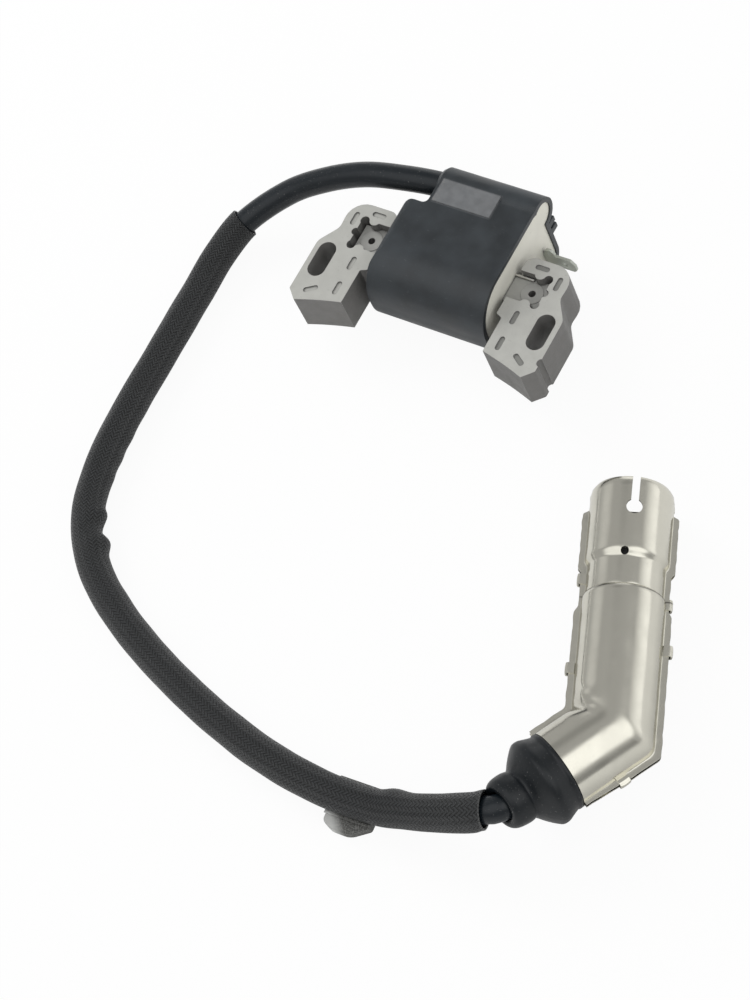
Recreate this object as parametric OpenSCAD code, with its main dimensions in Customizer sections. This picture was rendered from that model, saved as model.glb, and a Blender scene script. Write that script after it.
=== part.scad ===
// Small-engine ignition coil: laminated core, potted housing, plug lead and shielded plug cap.
// Millimetres, +Z up. X runs from mounting leg to mounting leg, Y from the flywheel to the lead tower.

/* [Core legs] */
// distance between the two mounting slots
slot_spacing = 68; // [60:0.5:80]
// width of a mounting slot
slot_w = 5.2; // [4.4:0.1:6.4]
// length of a mounting slot, along Y
slot_l = 11; // [8:0.5:13]
// thickness of the lamination stack
stack_t = 13; // [10:0.5:16]
// slot centre to the outer side of a leg
leg_out = 4.1; // [3.8:0.1:6]
// slot centre to the inner side of a pole
leg_in = 12; // [10:0.5:14]
// slot centre to the inner side of a leg root
root_in = 13.9; // [13:0.1:15]
// slot centre to the back edge of a leg
leg_back = 19.8; // [18.5:0.1:22]
// slot centre to the inner corner of a pole face
pole_front = 10.2; // [8:0.1:12]
// radius of the pole faces
pole_r = 110; // [70:1:160]
// length and width of an interlock dimple
dimple = [4.2, 1.5]; // [1:0.1:5]
// depth of an interlock dimple
dimple_deep = 0.4; // [0.2:0.1:0.8]

/* [Core bar] */
// width of the bar through the windings
bar_w = 8.5; // [7.5:0.1:9]
// thickness of the bar
bar_t = 7.4; // [6:0.1:8]
// slot centre to the middle of the bar, along Y
bar_y = 10.85; // [10.5:0.05:11.2]
// slot centre to the end of the bar, along X
bar_end = 5; // [4.6:0.1:6]
// pilot hole in each end of the bar
pilot_d = 2; // [1.5:0.1:2.5]
// pilot hole to the slot centre, along X
pilot_in = 9; // [8.5:0.1:9.5]
// clearance between bar and legs
bar_fit = 0.05; // [0.02:0.01:0.1]

/* [Housing] */
// middle to the open rim, along X
rim_x = 18.5; // [17.5:0.1:19]
// middle to the closed end, along X
closed_x = 17.8; // [17:0.1:18.8]
// height
housing_h = 26.5; // [25:0.5:30]
// slot line to the front face
housing_front = 4.7; // [4.2:0.1:6]
// slot line to the back face
housing_back = 32.5; // [32:0.1:34]
// radius of the front edges
front_r = 12; // [8:0.5:12.5]
// radius of the back edges
back_r = 5; // [3:0.5:6]
// wall thickness
wall = 1.4; // [1:0.1:1.7]
// slot line to the back of the stepped end
step_back = 22; // [21.8:0.1:23]
// middle to the stepped end, along X
step_x = 11; // [9:0.5:11.5]
// depth of the potting below the rim
pot_low = 0.4; // [0.2:0.1:0.8]

/* [Lead tower] */
// outer radius
tower_r = 5.3; // [5:0.1:6]
// slot line to the tower axis
tower_y = 31.2; // [30.8:0.1:32]
// middle to the mouth, along X
tower_mouth = 12; // [11.5:0.5:14]
// length of lead inside the tower
lead_in = 18; // [15:0.5:19]

/* [Windings] */
// wall of the primary bobbin
pri_wall = 0.8; // [0.6:0.05:0.9]
// depth of the primary winding
pri_deep = 1.4; // [1:0.05:1.5]
// wall of the secondary bobbin
sec_wall = 0.9; // [0.6:0.05:1]
// depth of the secondary winding
sec_deep = 1.4; // [1:0.05:1.5]
// number of secondary sections
sections = 6; // [4:1:8]
// thickness of a bobbin flange
flange_t = 0.7; // [0.5:0.1:1]
// slide fit of the bobbins
bobbin_fit = 0.2; // [0.1:0.05:0.25]

/* [Electronics] */
// size of the trigger board along X and Z
board = [24, 12]; // [8:0.5:26]
// thickness of the board
board_t = 1.2; // [0.8:0.1:1.6]
// width of the stop-switch blade
blade_w = 4.8; // [4.2:0.1:5.2]
// thickness of the blade
blade_t = 0.8; // [0.5:0.1:1]
// length of the blade outside the potting
blade_out = 9; // [7:0.5:11]
// radius of the hole in the blade
blade_hole = 0.8; // [0.5:0.1:1]

/* [Plug lead] */
// diameter of the lead
lead_d = 7; // [6.6:0.1:7.2]
// diameter of the conductor
core_d = 2.2; // [1.8:0.1:2.3]
// outer diameter of the braided sleeve
sleeve_d = 9; // [8.6:0.1:9.2]
// wall of the sleeve
sleeve_t = 0.55; // [0.4:0.05:0.6]
// width of the lead clip along the lead
clip_w = 12.5; // [10:0.5:13.5]

/* [Plug cap] */
// length of the shield from the elbow to the rim
cap_len = 65; // [61:0.5:69]
// angle between the arm and the barrel
cap_angle = 131; // [128:0.5:134]
// heading of the barrel on the table
cap_turn = 112.5; // [109:0.5:116]
// roll of the cap about its barrel
cap_roll = 11.5; // [9:0.5:14]
// shield radius at the plug end
rim_r = 10.1; // [9.8:0.1:10.5]
// shield radius at the neck
neck_r = 9.3; // [9.1:0.1:9.6]
// shield radius from the neck to the arm
tube_r = 10; // [9.8:0.1:10.3]
// elbow to the front of the neck
neck_front = 43.6; // [42:0.1:45]
// length of the neck
neck_l = 8.5; // [7:0.5:9.5]
// elbow to the end of the arm
arm_l = 16; // [15:0.5:17]
// sheet thickness of the shield
sheet = 0.5; // [0.4:0.05:0.6]
// width of the seam flange from the axis
seam_w = 12; // [11.7:0.1:12.5]
// radius of the grommet's flare
flare_r = 11.4; // [11:0.1:12]
// diameter of the bore for the spark plug's insulator
plug_bore = 11.6; // [11:0.1:12]
// elbow to the floor of that bore
plug_floor = 14; // [13.5:0.1:15]
// length of the terminal that grips the spark plug
terminal_l = 8; // [6:0.5:9]
// sliding clearance of the cap's inner parts
cap_fit = 0.2; // [0.15:0.05:0.3]

/* [Hidden] */
$fn = 48;
cut = 0.5;

slot_x = slot_spacing / 2;
mid_z = housing_h / 2;
leg_z = mid_z - stack_t / 2;
// pole faces lie on one circle around the flywheel axis
tip_out = 1.2;
chamfer = 2.8;
pole_y = -pole_front - sqrt(pow(pole_r, 2) - pow(slot_x - leg_in, 2));
tip_y = pole_y + sqrt(pow(pole_r, 2) - pow(slot_x + tip_out, 2));
// the slot line lies so that the coil is centred along Y
tower_back = tower_y + tower_r;
slot_y = -(tower_back + tip_y) / 2;

win_end = bar_end - 0.4;
bar_half = bar_w / 2;
lock_r = 1.6;
lock_in = 8.2;
lock_out = 0.6;

x_in = -closed_x + wall;
x_pot = rim_x - pot_low;
tower_z = housing_h - tower_r;
bore_r = lead_d / 2 + 0.3;
lead_x = lead_in - tower_mouth;
sec_gap = 0.15;
lip = 0.15;
// growth of the bobbin layers over the bar
g_pri = bobbin_fit + pri_wall;
g_pri_top = g_pri + pri_deep;
g_sec_in = g_pri_top + sec_gap;
g_sec = g_sec_in + sec_wall;
g_sec_top = g_sec + sec_deep;
g_all = g_sec_top + lip;
bob_x = [x_in + 0.6, rim_x - 2.2];
bob_l = bob_x[1] - bob_x[0];
bob_back = bar_y + bar_half + g_all;

board_y = 26.6;
board_x = -8;
board_z = 2.5;
blade_z = 4.95;
eye_r = 0.6;
pin_r = 1.1;
pin_tip = lead_x - 6;
pin_collar = 1.2;
hv_x = lead_x + 4;
ground_r = 0.35;

lead_r = lead_d / 2;
core_r = core_d / 2;
sleeve_r = sleeve_d / 2;
jacket_bore = core_r + 0.2;

// shield of the cap
step_l = 1.8;
key_x = cap_len - 8.4;
key_y = -0.95;
key_r = 2;
vent_r = 1;
rim_in = rim_r - sheet;
neck_in = neck_r - sheet;
tube_in = tube_r - sheet;
neck_back = neck_front - neck_l;
body_end = neck_front + 2.5;
half_angle = cap_angle / 2;
seam_end = cap_len - 5.5;
neck_dip = 0.9;
arm_step = 0.15;
plug_r = tube_in - arm_step - 0.1;
gland_end = arm_l + 17.4;
// the barrel lies on the table and the arm is held up by the lead
cap_at = [99.1, -101.4, rim_r + 0.1];
screw_tip = 12.5;
body_arm = arm_l - 2;
lead_stop = 7;
chamber_r = 2.4;
seat_r = plug_bore / 2 - 0.5;
terminal_r = 4.4;

// route of the lead from the tower to the cap, on the table
route_mid = [[-24.5, 18.4, 21], [-36, 16.5, 19.8], [-47.5, 13, 16.8], [-58.5, 7.8, 12.6], [-69, -3, 7.7],
    [-72, -13.5, 5.4], [-72.2, -27, 4.7], [-71.8, -48, 4.7], [-71.3, -69, 4.7], [-69.5, -84, 4.7],
    [-65.5, -97, 4.7], [-58.5, -107, 4.7], [-49, -115, 4.7], [-37.5, -121.5, 4.7], [-25, -127, 4.7],
    [-11, -132, 4.7], [4, -136.3, 4.8], [20, -139.6, 5.2], [37.5, -141, 5.7], [52, -140, 5.7],
    [61, -138.4, 8.2], [67.5, -137.1, 10.4], [74, -135.6, 12.4], [79, -134.4, 13.8], [81.1, -133.5, 14.4]];
bend = [84.3, -131.2, 15.1];
sleeve_from = 4;
clip_a = route_mid[18];
clip_b = route_mid[19];

function unit(v) = v / norm(v);

// direction of the arm axis, and a point on it at a distance from the elbow
function rolled(v) = [v[0], v[1] * cos(cap_roll) - v[2] * sin(cap_roll),
    v[1] * sin(cap_roll) + v[2] * cos(cap_roll)];
function turned(v) = [v[0] * cos(cap_turn) - v[1] * sin(cap_turn),
    v[0] * sin(cap_turn) + v[1] * cos(cap_turn), v[2]];
arm_dir = turned(rolled([cos(cap_angle), sin(cap_angle), 0]));
function arm_point(u) = cap_at + u * arm_dir;
function tower_point(x) = [x, tower_y + slot_y, tower_z];
route = concat([tower_point(lead_x), tower_point(-tower_mouth)], route_mid,
    [bend, arm_point(30.5), arm_point(lead_stop + 0.3)]);
core_route = concat([tower_point(pin_tip - 0.5), tower_point(-tower_mouth)], route_mid,
    [bend, arm_point(30.5), arm_point(screw_tip + 0.5)]);
sleeve_route = [for (i = [sleeve_from : len(route_mid) - 1]) route_mid[i]];

// outline with each corner [x, y, radius] turned into an arc
function corner(a, b, c, r, n = 6) =
    let (p = unit(a - b), q = unit(c - b), h = acos(p * q) / 2, m = b + unit(p + q) * r / sin(h),
        s = b + p * r / tan(h) - m, e = b + q * r / tan(h) - m,
        a0 = atan2(s[1], s[0]), d = atan2(s[0] * e[1] - s[1] * e[0], s * e))
    [for (i = [0 : n]) m + r * [cos(a0 + d * i / n), sin(a0 + d * i / n)]];
function flat(p) = [p[0], p[1]];
function outline(c) = [for (i = [0 : len(c) - 1])
    each c[i][2] > 0
        ? corner(flat(c[(i + len(c) - 1) % len(c)]), flat(c[i]), flat(c[(i + 1) % len(c)]), c[i][2])
        : [flat(c[i])]];

// rings of points along a route
function along(p, i) = unit(p[min(i + 1, len(p) - 1)] - p[max(i - 1, 0)]);
function ring(p, i, r, n) =
    let (t = along(p, i), s = unit(cross([0, 0, 1], t)), u = cross(t, s))
    [for (k = [0 : n - 1]) p[i] + r * (cos(k * 360 / n) * s + sin(k * 360 / n) * u)];
function rings(p, r, n) = [for (i = [0 : len(p) - 1]) each ring(p, i, r, n)];
function side_faces(m, n, at, turn) = [for (i = [0 : m - 2]) for (k = [0 : n - 1])
    let (a = at + i * n + k, b = at + i * n + (k + 1) % n)
    each turn ? [[a, b, b + n], [a, b + n, a + n]] : [[a, b + n, b], [a, a + n, b + n]]];

module rod(p, r, n) {
    m = len(p);
    polyhedron(rings(p, r, n), concat(side_faces(m, n, 0, false), [[for (k = [0 : n - 1]) k]],
        [[for (k = [0 : n - 1]) m * n - 1 - k]]), convexity = 10);
}

module hose(p, r, r_in, n) {
    m = len(p);
    inner = m * n;
    last = (m - 1) * n;
    polyhedron(concat(rings(p, r, n), rings(p, r_in, n)), concat(side_faces(m, n, 0, false),
        side_faces(m, n, inner, true),
        [for (k = [0 : n - 1]) let (b = (k + 1) % n) each [[k, b, inner + b], [k, inner + b, inner + k]]],
        [for (k = [0 : n - 1]) let (b = (k + 1) % n, o = last, q = inner + last)
            each [[o + k, q + b, o + b], [o + k, q + k, q + b]]]), convexity = 10);
}

module at_slots() {
    translate([0, slot_y, 0]) children();
}

// extrusion along X of a profile drawn in Y and Z
module run_x(x0, x1) {
    translate([x0, 0, 0]) rotate([90, 0, 90]) linear_extrude(x1 - x0) children();
}

module rod_x(x0, x1, r) {
    translate([x0, 0, 0]) rotate([0, 90, 0]) cylinder(h = x1 - x0, r = r);
}

// solid turned about X from points [radius, x]
module turn_x(points) {
    rotate([0, 90, 0]) rotate_extrude() polygon(points);
}

module rod_y(y0, y1, r) {
    translate([0, y0, 0]) rotate([-90, 0, 0]) cylinder(h = y1 - y0, r = r);
}

// rounded rectangle of true arcs, centred
module round_rect(w, h, r) {
    square([w - 2 * r, h], center = true);
    square([w, h - 2 * r], center = true);
    for (x = [-1, 1], y = [-1, 1]) translate([x * (w / 2 - r), y * (h / 2 - r)]) circle(r);
}

// core legs

module leg_outline(notched) {
    difference() {
        polygon(outline([[leg_in, -20, 0], [-tip_out + 20 + tip_y, -20, 0], [-tip_out, tip_y, 0],
            [-leg_out, tip_y + chamfer, 0.8], [-leg_out, 4.9, 3.5], [-0.2, 10.6, 3.5],
            [-0.9, leg_back, 5.5], [root_in, leg_back, 2.6], [root_in, 1.2, 0.4], [leg_in, 0.4, 0.5]]));
        translate([slot_x, pole_y]) circle(pole_r, $fn = 360);
        if (notched) translate([-leg_out - 0.3, -8.2]) circle(1.2);
    }
}

module leg_window() {
    difference() {
        translate([win_end, bar_y - bar_half - bar_fit]) square([root_in, bar_w + 2 * bar_fit]);
        for (s = [-1, 1]) translate([lock_in, bar_y + s * (bar_half + bar_fit + lock_out)]) circle(lock_r);
    }
    for (s = [-1, 1]) translate([win_end + 0.9, bar_y + s * (bar_half - 0.3)]) circle(1.3);
    translate([win_end, bar_y]) circle(1.1);
}

module dimples(z, h, grow) {
    r = dimple[1] / 2 + grow;
    e = (dimple[0] - dimple[1]) / 2;
    for (d = [[8.6, 17.5, 0], [2.4, 14.5, 90], [8.7, 1.6, 90], [8.7, -6.6, 90], [1.7, -9.3, 33]])
        translate([d[0], d[1], z]) rotate(d[2]) {
            translate([-e, -r, 0]) cube([2 * e, 2 * r, h]);
            for (s = [-1, 1]) translate([s * e, 0, 0]) cylinder(h = h, r = r);
        }
}

// one leg, its slot centre on the Z axis and the coil on its +X side
module leg(notched) {
    difference() {
        linear_extrude(stack_t) leg_outline(notched);
        translate([0, 0, -cut]) linear_extrude(stack_t + 2 * cut) leg_window();
        translate([-slot_w / 2, -(slot_l - slot_w) / 2, -cut])
            cube([slot_w, slot_l - slot_w, stack_t + 2 * cut]);
        for (s = [-1, 1]) translate([0, s * (slot_l - slot_w) / 2, -cut])
            cylinder(h = stack_t + 2 * cut, d = slot_w);
        dimples(stack_t - dimple_deep, dimple_deep + cut, 0);
    }
    dimples(-0.3, 0.31, -0.1);
}

module left_leg() {
    color("#b7b6b1") at_slots() translate([-slot_x, 0, leg_z]) leg(false);
}

module right_leg() {
    color("#b7b6b1") at_slots() translate([slot_x, 0, leg_z]) mirror([1, 0, 0]) leg(true);
}

module bar_section(grow, r) {
    translate([bar_y, mid_z]) if (r > 0) round_rect(bar_w + 2 * grow, bar_t + 2 * grow, r);
    else square([bar_w + 2 * grow, bar_t + 2 * grow], center = true);
}

module core_bar() {
    end = slot_x - bar_end;
    color("#9b9a96") at_slots() difference() {
        union() {
            run_x(-end, end) bar_section(0, 0);
            for (s = [-1, 1]) translate([s * (slot_x - pilot_in), bar_y, mid_z + bar_t / 2 - 0.1])
                cylinder(h = 0.25, r = 3.1);
        }
        for (s = [-1, 1]) {
            translate([s * (slot_x - pilot_in), bar_y, 0]) cylinder(h = housing_h, d = pilot_d);
            for (t = [-1, 1])
                translate([s * (slot_x - lock_in), bar_y + t * (bar_half + bar_fit + lock_out), 0])
                    cylinder(h = housing_h, r = lock_r + bar_fit);
        }
    }
}

// housing and potting

module shell_profile(grow) {
    y0 = -housing_front - grow;
    y1 = housing_back + grow;
    rf = front_r + grow;
    rb = back_r + grow;
    m = (y0 + y1) / 2;
    h = housing_h + 2 * grow;
    translate([0, -grow]) {
        translate([y0 + rf, 0]) square([m - y0 - rf, h]);
        translate([y0, rf]) square([m - y0, h - 2 * rf]);
        translate([m, 0]) square([y1 - rb - m, h]);
        translate([m, rb]) square([y1 - m, h - 2 * rb]);
        for (z = [0, 1]) {
            translate([y0 + rf, rf + z * (h - 2 * rf)]) circle(rf);
            translate([y1 - rb, rb + z * (h - 2 * rb)]) circle(rb);
        }
    }
}

module shell_plan(grow) {
    x0 = -closed_x - grow;
    polygon(outline([[rim_x + 5, -30, 0], [rim_x + 5, 60, 0], [-step_x - grow, 60, 0],
        [-step_x - grow, step_back + grow, grow < 0 ? 0 : 1.5], [x0, step_back + grow, 3 + grow],
        [x0, -housing_front - grow, 3 + grow], [x0 + 8, -30, 0]]));
}

module shell_front(grow) {
    x0 = -closed_x - grow;
    polygon(outline([[rim_x + 5, -5, 0], [rim_x + 5, 40, 0], [x0 + 4, housing_h + grow + 6, 0],
        [x0 + 4, housing_h + grow, 0], [x0, housing_h + grow, 2.5 + grow], [x0, -grow, 2.5 + grow],
        [x0 + 4, -grow, 0], [x0 + 4, -5, 0]]));
}

module block(x1, grow) {
    intersection() {
        run_x(-closed_x - grow, x1) shell_profile(grow);
        translate([0, 0, -5]) linear_extrude(50) shell_plan(grow);
        translate([0, 60, 0]) rotate([90, 0, 0]) linear_extrude(90) shell_front(grow);
    }
}

module on_tower() {
    translate([0, tower_y, tower_z]) children();
}

// space filled with resin, up to a plane x1
module cavity(x1) {
    difference() {
        block(x1, -wall);
        on_tower() rod_x(-30, lead_x, tower_r);
    }
    on_tower() rod_x(lead_x, x1, tower_r - wall);
}

module housing() {
    color("#2b2d31") at_slots() difference() {
        union() {
            block(rim_x, 0);
            on_tower() rod_x(-tower_mouth + 1, rim_x, tower_r);
            on_tower() translate([-tower_mouth, 0, 0]) rotate([0, 90, 0])
                cylinder(h = 1, r1 = tower_r - 0.7, r2 = tower_r);
            translate([-step_x + 1, 23.2, housing_h - 1]) cube([17.8, 7.2, 1.2]);
            for (z = [0, 1]) translate([rim_x - 3, housing_back - 1, mid_z - 2.2 + z * 3])
                cube([3, 3.6, 1.8]);
        }
        cavity(rim_x + cut);
        on_tower() rod_x(-tower_mouth - cut, lead_x + cut, bore_r);
        run_x(-closed_x - cut, 0) bar_section(0.15, 0);
    }
}

module potting() {
    color("#e4dfcd") at_slots() difference() {
        cavity(x_pot);
        run_x(bob_x[0] - cut, bob_x[1]) bar_section(g_all, 1.5);
        run_x(-closed_x, rim_x + cut) bar_section(0, 0);
        board_shape();
        transistor_shape();
        chip_shape();
        resistor_shapes();
        primary_lead_shapes();
        blade_shape();
        ground_shape();
        pin_shape();
        hv_wire_shape();
    }
}

// windings

module primary_bobbin() {
    color("#d9d4c4") at_slots() difference() {
        union() {
            run_x(bob_x[0], bob_x[1]) bar_section(g_pri, 0.8);
            run_x(bob_x[0], bob_x[0] + flange_t) bar_section(g_pri_top, 1);
            run_x(bob_x[1] - flange_t, bob_x[1]) bar_section(g_pri_top, 1);
        }
        run_x(bob_x[0] - cut, bob_x[1] + cut) bar_section(bobbin_fit, 0);
    }
}

module primary_winding() {
    color("#a8562c") at_slots() difference() {
        run_x(bob_x[0] + flange_t, bob_x[1] - flange_t) bar_section(g_pri_top, 1);
        run_x(bob_x[0], bob_x[1]) bar_section(g_pri, 0.8);
    }
}

module secondary_bobbin() {
    pitch = (bob_l - flange_t) / sections;
    color("#cfc9b6") at_slots() difference() {
        union() {
            run_x(bob_x[0], bob_x[1]) bar_section(g_sec, 1.2);
            for (i = [0 : sections]) run_x(bob_x[0] + i * pitch, bob_x[0] + i * pitch + flange_t)
                bar_section(g_all, 1.5);
        }
        run_x(bob_x[0] - cut, bob_x[1] + cut) bar_section(g_sec_in, 1);
    }
}

module secondary_winding() {
    pitch = (bob_l - flange_t) / sections;
    color("#b5692f") at_slots() for (i = [0 : sections - 1]) difference() {
        run_x(bob_x[0] + i * pitch + flange_t, bob_x[0] + (i + 1) * pitch) bar_section(g_sec_top, 1.4);
        run_x(bob_x[0], bob_x[1]) bar_section(g_sec, 1.2);
    }
}

// electronics

module board_shape() {
    translate([board_x, board_y - board_t, board_z]) cube([board[0], board_t, board[1]]);
}

module transistor_shape() {
    translate([board_x + 11, board_y - board_t - 2.4, board_z + 2]) cube([6.6, 2.4, 6]);
}

module chip_shape() {
    translate([board_x + 2, board_y - board_t - 1.6, board_z + 2]) cube([5, 1.6, 4]);
}

module resistor_shapes() {
    for (i = [0, 1]) translate([board_x + 2 + i * 6, board_y - board_t - 0.9, board_z + 9.5])
        rod_x(0, 4, 0.9);
}

module primary_lead_shapes() {
    for (z = [4.5, 8.5]) translate([board_x + 21, 0, board_z + z]) rod_y(bob_back, board_y - board_t, 0.4);
}

module blade_shape() {
    tip = rim_x + blade_out;
    top = blade_z + blade_w;
    difference() {
        union() {
            translate([0, board_y + blade_t, 0]) rotate([90, 0, 0]) linear_extrude(blade_t)
                polygon([[board_x + 20, blade_z], [tip - 0.8, blade_z], [tip, blade_z + 0.8],
                    [tip, top - 1.9], [tip - 1.2, top], [board_x + 20, top]]);
            translate([rim_x + 1.7, board_y, top + 0.6]) rod_y(0, blade_t, eye_r + 1);
        }
        translate([rim_x + 1.7, board_y, top + 0.6]) rod_y(-1, blade_t + 1, eye_r);
        translate([tip - 3.2, board_y, top - blade_w / 2]) rod_y(-1, blade_t + 1, blade_hole);
    }
}

module ground_shape() {
    translate([0, bar_y + bar_half - 0.5, mid_z + bar_t / 2 + ground_r])
        rod_x(rim_x - 2, slot_x - lock_in - 2, ground_r);
}

module pin_shape() {
    on_tower() {
        rod_x(pin_tip, lead_x + cut, pin_r);
        rod_x(lead_x, lead_x + pin_collar, 3);
        rod_x(lead_x + pin_collar - cut, lead_x + 6, 1.4);
    }
}

module hv_wire_shape() {
    translate([hv_x, 0, min(tower_z, mid_z + bar_t / 2 + g_all - 1.2)]) rod_y(bob_back, tower_y - 1.2, 0.5);
}

module trigger_board() {
    color("#3c6b46") at_slots() board_shape();
}

module switch_transistor() {
    color("#1d1d1f") at_slots() transistor_shape();
}

module trigger_chip() {
    color("#222226") at_slots() chip_shape();
}

module board_resistors() {
    color("#a58a62") at_slots() resistor_shapes();
}

module primary_leads() {
    color("#b06a3a") at_slots() primary_lead_shapes();
}

module kill_terminal() {
    color("#a7a59d") at_slots() blade_shape();
}

module ground_wire() {
    color("#c9c7c0") at_slots() ground_shape();
}

module hv_pin() {
    color("#c2a561") at_slots() pin_shape();
}

module hv_wire() {
    color("#b06a3a") at_slots() difference() {
        hv_wire_shape();
        pin_shape();
    }
}

// plug lead

module lead_jacket() {
    color("#1c1d1f") hose(route, lead_r, jacket_bore, 12);
}

module lead_core() {
    color("#a8763f") rod(core_route, core_r, 8);
}

module lead_sleeve() {
    color("#151517") hose(sleeve_route, sleeve_r, sleeve_r - sleeve_t, 12);
}

// saddle under the sleeve, with a foot on one side
module lead_clip() {
    d = clip_b - clip_a;
    seat = sleeve_r + 0.2;
    w = clip_w / 2;
    color("#c5c6c4") translate((clip_a + clip_b) / 2) rotate(atan2(d[1], d[0])) difference() {
        union() {
            intersection() {
                rod_x(-w, w, seat + 0.8);
                translate([-20, -20, -clip_a[2]]) cube([40, 40, clip_a[2] - 1.8]);
            }
            translate([0, -seat, -clip_a[2]]) linear_extrude(2.6)
                polygon(outline([[w, 1.5, 0], [-w, 1.5, 0], [-w, -2.2, 1.8], [-0.55 * w, -3.4, 4],
                    [0.26 * w, -3.5, 5], [w, -0.2, 1]]));
        }
        rod_x(-clip_w, clip_w, seat);
    }
}

// plug cap, drawn with the barrel along +X from the elbow

module on_cap() {
    translate(cap_at) rotate(cap_turn) rotate([cap_roll, 0, 0]) children();
}

module on_arm() {
    rotate(cap_angle) children();
}

module side_of_elbow(s) {
    rotate(half_angle) translate([-80, s > 0 ? 0 : -160, -40]) cube([160, 160, 80]);
}

// solid elbow with a stepped barrel, the radii being rim, neck and tube
module elbow_solid(r_rim, r_neck, r_tube, x1, u1, grow) {
    intersection() {
        turn_x([[0, -30], [r_tube, -30], [r_tube, neck_back + grow], [r_neck, neck_back + grow],
            [r_neck, neck_front], [r_rim, neck_front + step_l], [r_rim, x1], [0, x1]]);
        side_of_elbow(-1);
    }
    intersection() {
        on_arm() rod_x(-30, u1, r_tube - arm_step);
        side_of_elbow(1);
    }
}

// outline of the seam flange, narrower beside the neck
function seam_points(w, x1, u1) =
    let (k = w / sin(half_angle), u = [cos(cap_angle), sin(cap_angle)],
        v = [-sin(cap_angle), cos(cap_angle)], n = w - neck_dip, a = neck_front, b = neck_back - 2)
    [[x1, w], [a, w], [a - 1.5, n], [b, n], [b - 2, w], k * [cos(half_angle), sin(half_angle)],
        u1 * u - w * v, u1 * u + (w - neck_dip) * v, -k * [cos(half_angle), sin(half_angle)],
        [b - 2, -w], [b, -n], [a - 1.5, -n], [a, -w], [x1, -w]];

module half_shell(top) {
    difference() {
        union() {
            elbow_solid(rim_r, neck_r, tube_r, cap_len, arm_l, sheet);
            translate([0, 0, -sheet]) linear_extrude(2 * sheet)
                polygon(seam_points(seam_w, seam_end, arm_l - arm_step));
        }
        elbow_solid(rim_in, neck_in, tube_in, cap_len + cut, arm_l + cut, 0);
        translate([-100, -100, top ? -100 : 0]) cube([200, 200, 100]);
        translate([key_x, key_y, -30]) cylinder(h = 60, r = key_r);
        if (top) translate([key_x, key_y - 0.95, 0]) cube([20, 1.9, 30]);
        translate([neck_front + 0.85, 0.5, -30]) cylinder(h = 60, r = vent_r);
    }
}

// crimp tab of the lower shell, folded over the seam at a width w
module tab(x, w) {
    translate([x - 1.4, w - 1, sheet]) cube([2.8, 1.5, 0.45]);
    translate([x - 1.4, w, -sheet]) cube([2.8, 0.5, 2 * sheet + 0.45]);
    translate([x - 1.4, w - 0.5, -sheet]) cube([2.8, 0.8, sheet]);
}

module upper_shell() {
    color("#b9b5aa") on_cap() half_shell(true);
}

module lower_shell() {
    color("#b3afa4") on_cap() {
        half_shell(false);
        tab(neck_front - 3.4, seam_w - neck_dip);
        tab(16, seam_w);
        mirror([0, 1, 0]) tab(neck_back - 0.4, seam_w - neck_dip);
        mirror([0, 1, 0]) tab(22.4, seam_w);
        on_arm() tab(5.2, seam_w - 0.1);
    }
}

module cap_body() {
    r = tube_in - cap_fit;
    rn = neck_in - cap_fit;
    color("#202123") on_cap() difference() {
        elbow_solid(rn, rn, r, body_end, body_arm, -cap_fit);
        rod_x(plug_floor + terminal_l, body_end + cut, plug_bore / 2);
        rod_x(plug_floor, plug_floor + terminal_l + cut, seat_r);
        rod_x(1.5, plug_floor + cut, chamber_r);
        on_arm() rod_x(lead_stop, body_arm + cut, bore_r);
        on_arm() screw_shape();
    }
}

// rubber grommet that closes the arm
module grommet() {
    a = arm_l;
    color("#232528") on_cap() on_arm() rotate([90, 0, 90]) rotate_extrude()
        polygon([[bore_r, body_arm + 0.1], [plug_r, body_arm + 0.1], [plug_r, a],
            [tube_r + 0.4, a], [flare_r - 0.4, a + 3.6], [flare_r, a + 4.6], [flare_r, a + 6],
            [flare_r - 0.8, a + 7], [9, a + 8.8], [7.2, a + 10.4], [6.5, a + 11.2], [6.8, a + 12.4],
            [6.7, a + 15.4], [5.9, gland_end], [5.1, gland_end], [4.9, a + 12], [bore_r, a + 11]]);
}

module screw_shape() {
    rod_x(1, 2.5, 3);
    rod_x(2.4, screw_tip - 2, pin_r);
    translate([screw_tip - 2.01, 0, 0]) rotate([0, 90, 0]) cylinder(h = 2.01, r1 = pin_r, r2 = 0.3);
}

module lead_screw() {
    color("#c2a561") on_cap() on_arm() screw_shape();
}

module suppressor() {
    color("#d5cdb8") on_cap() rod_x(1.7, plug_floor - 4, chamber_r - 0.2);
}

// compression spring between suppressor and terminal
module contact_spring() {
    turns = 4;
    steps = 40;
    a = plug_floor - 4 + 0.3;
    h = 4 - 0.6;
    color("#b9b5aa") on_cap() rotate([0, 90, 0])
        rod([for (i = [0 : steps]) [1.7 * cos(i * 360 * turns / steps), 1.7 * sin(i * 360 * turns / steps),
            a + h * i / steps]], 0.3, 8);
}

module plug_terminal() {
    flange = 1.2;
    color("#c2a561") on_cap() difference() {
        union() {
            rod_x(plug_floor, plug_floor + flange, seat_r - cap_fit);
            rod_x(plug_floor, plug_floor + terminal_l, terminal_r);
        }
        rod_x(plug_floor + flange, plug_floor + terminal_l + cut, terminal_r - flange);
        translate([plug_floor + 2 * flange, -0.5, -10]) cube([terminal_l, 1, 20]);
    }
}

left_leg();
right_leg();
core_bar();
housing();
potting();
primary_bobbin();
primary_winding();
secondary_bobbin();
secondary_winding();
trigger_board();
switch_transistor();
trigger_chip();
board_resistors();
primary_leads();
kill_terminal();
ground_wire();
hv_pin();
hv_wire();
lead_jacket();
lead_core();
lead_sleeve();
lead_clip();
upper_shell();
lower_shell();
cap_body();
grommet();
lead_screw();
suppressor();
contact_spring();
plug_terminal();
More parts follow.
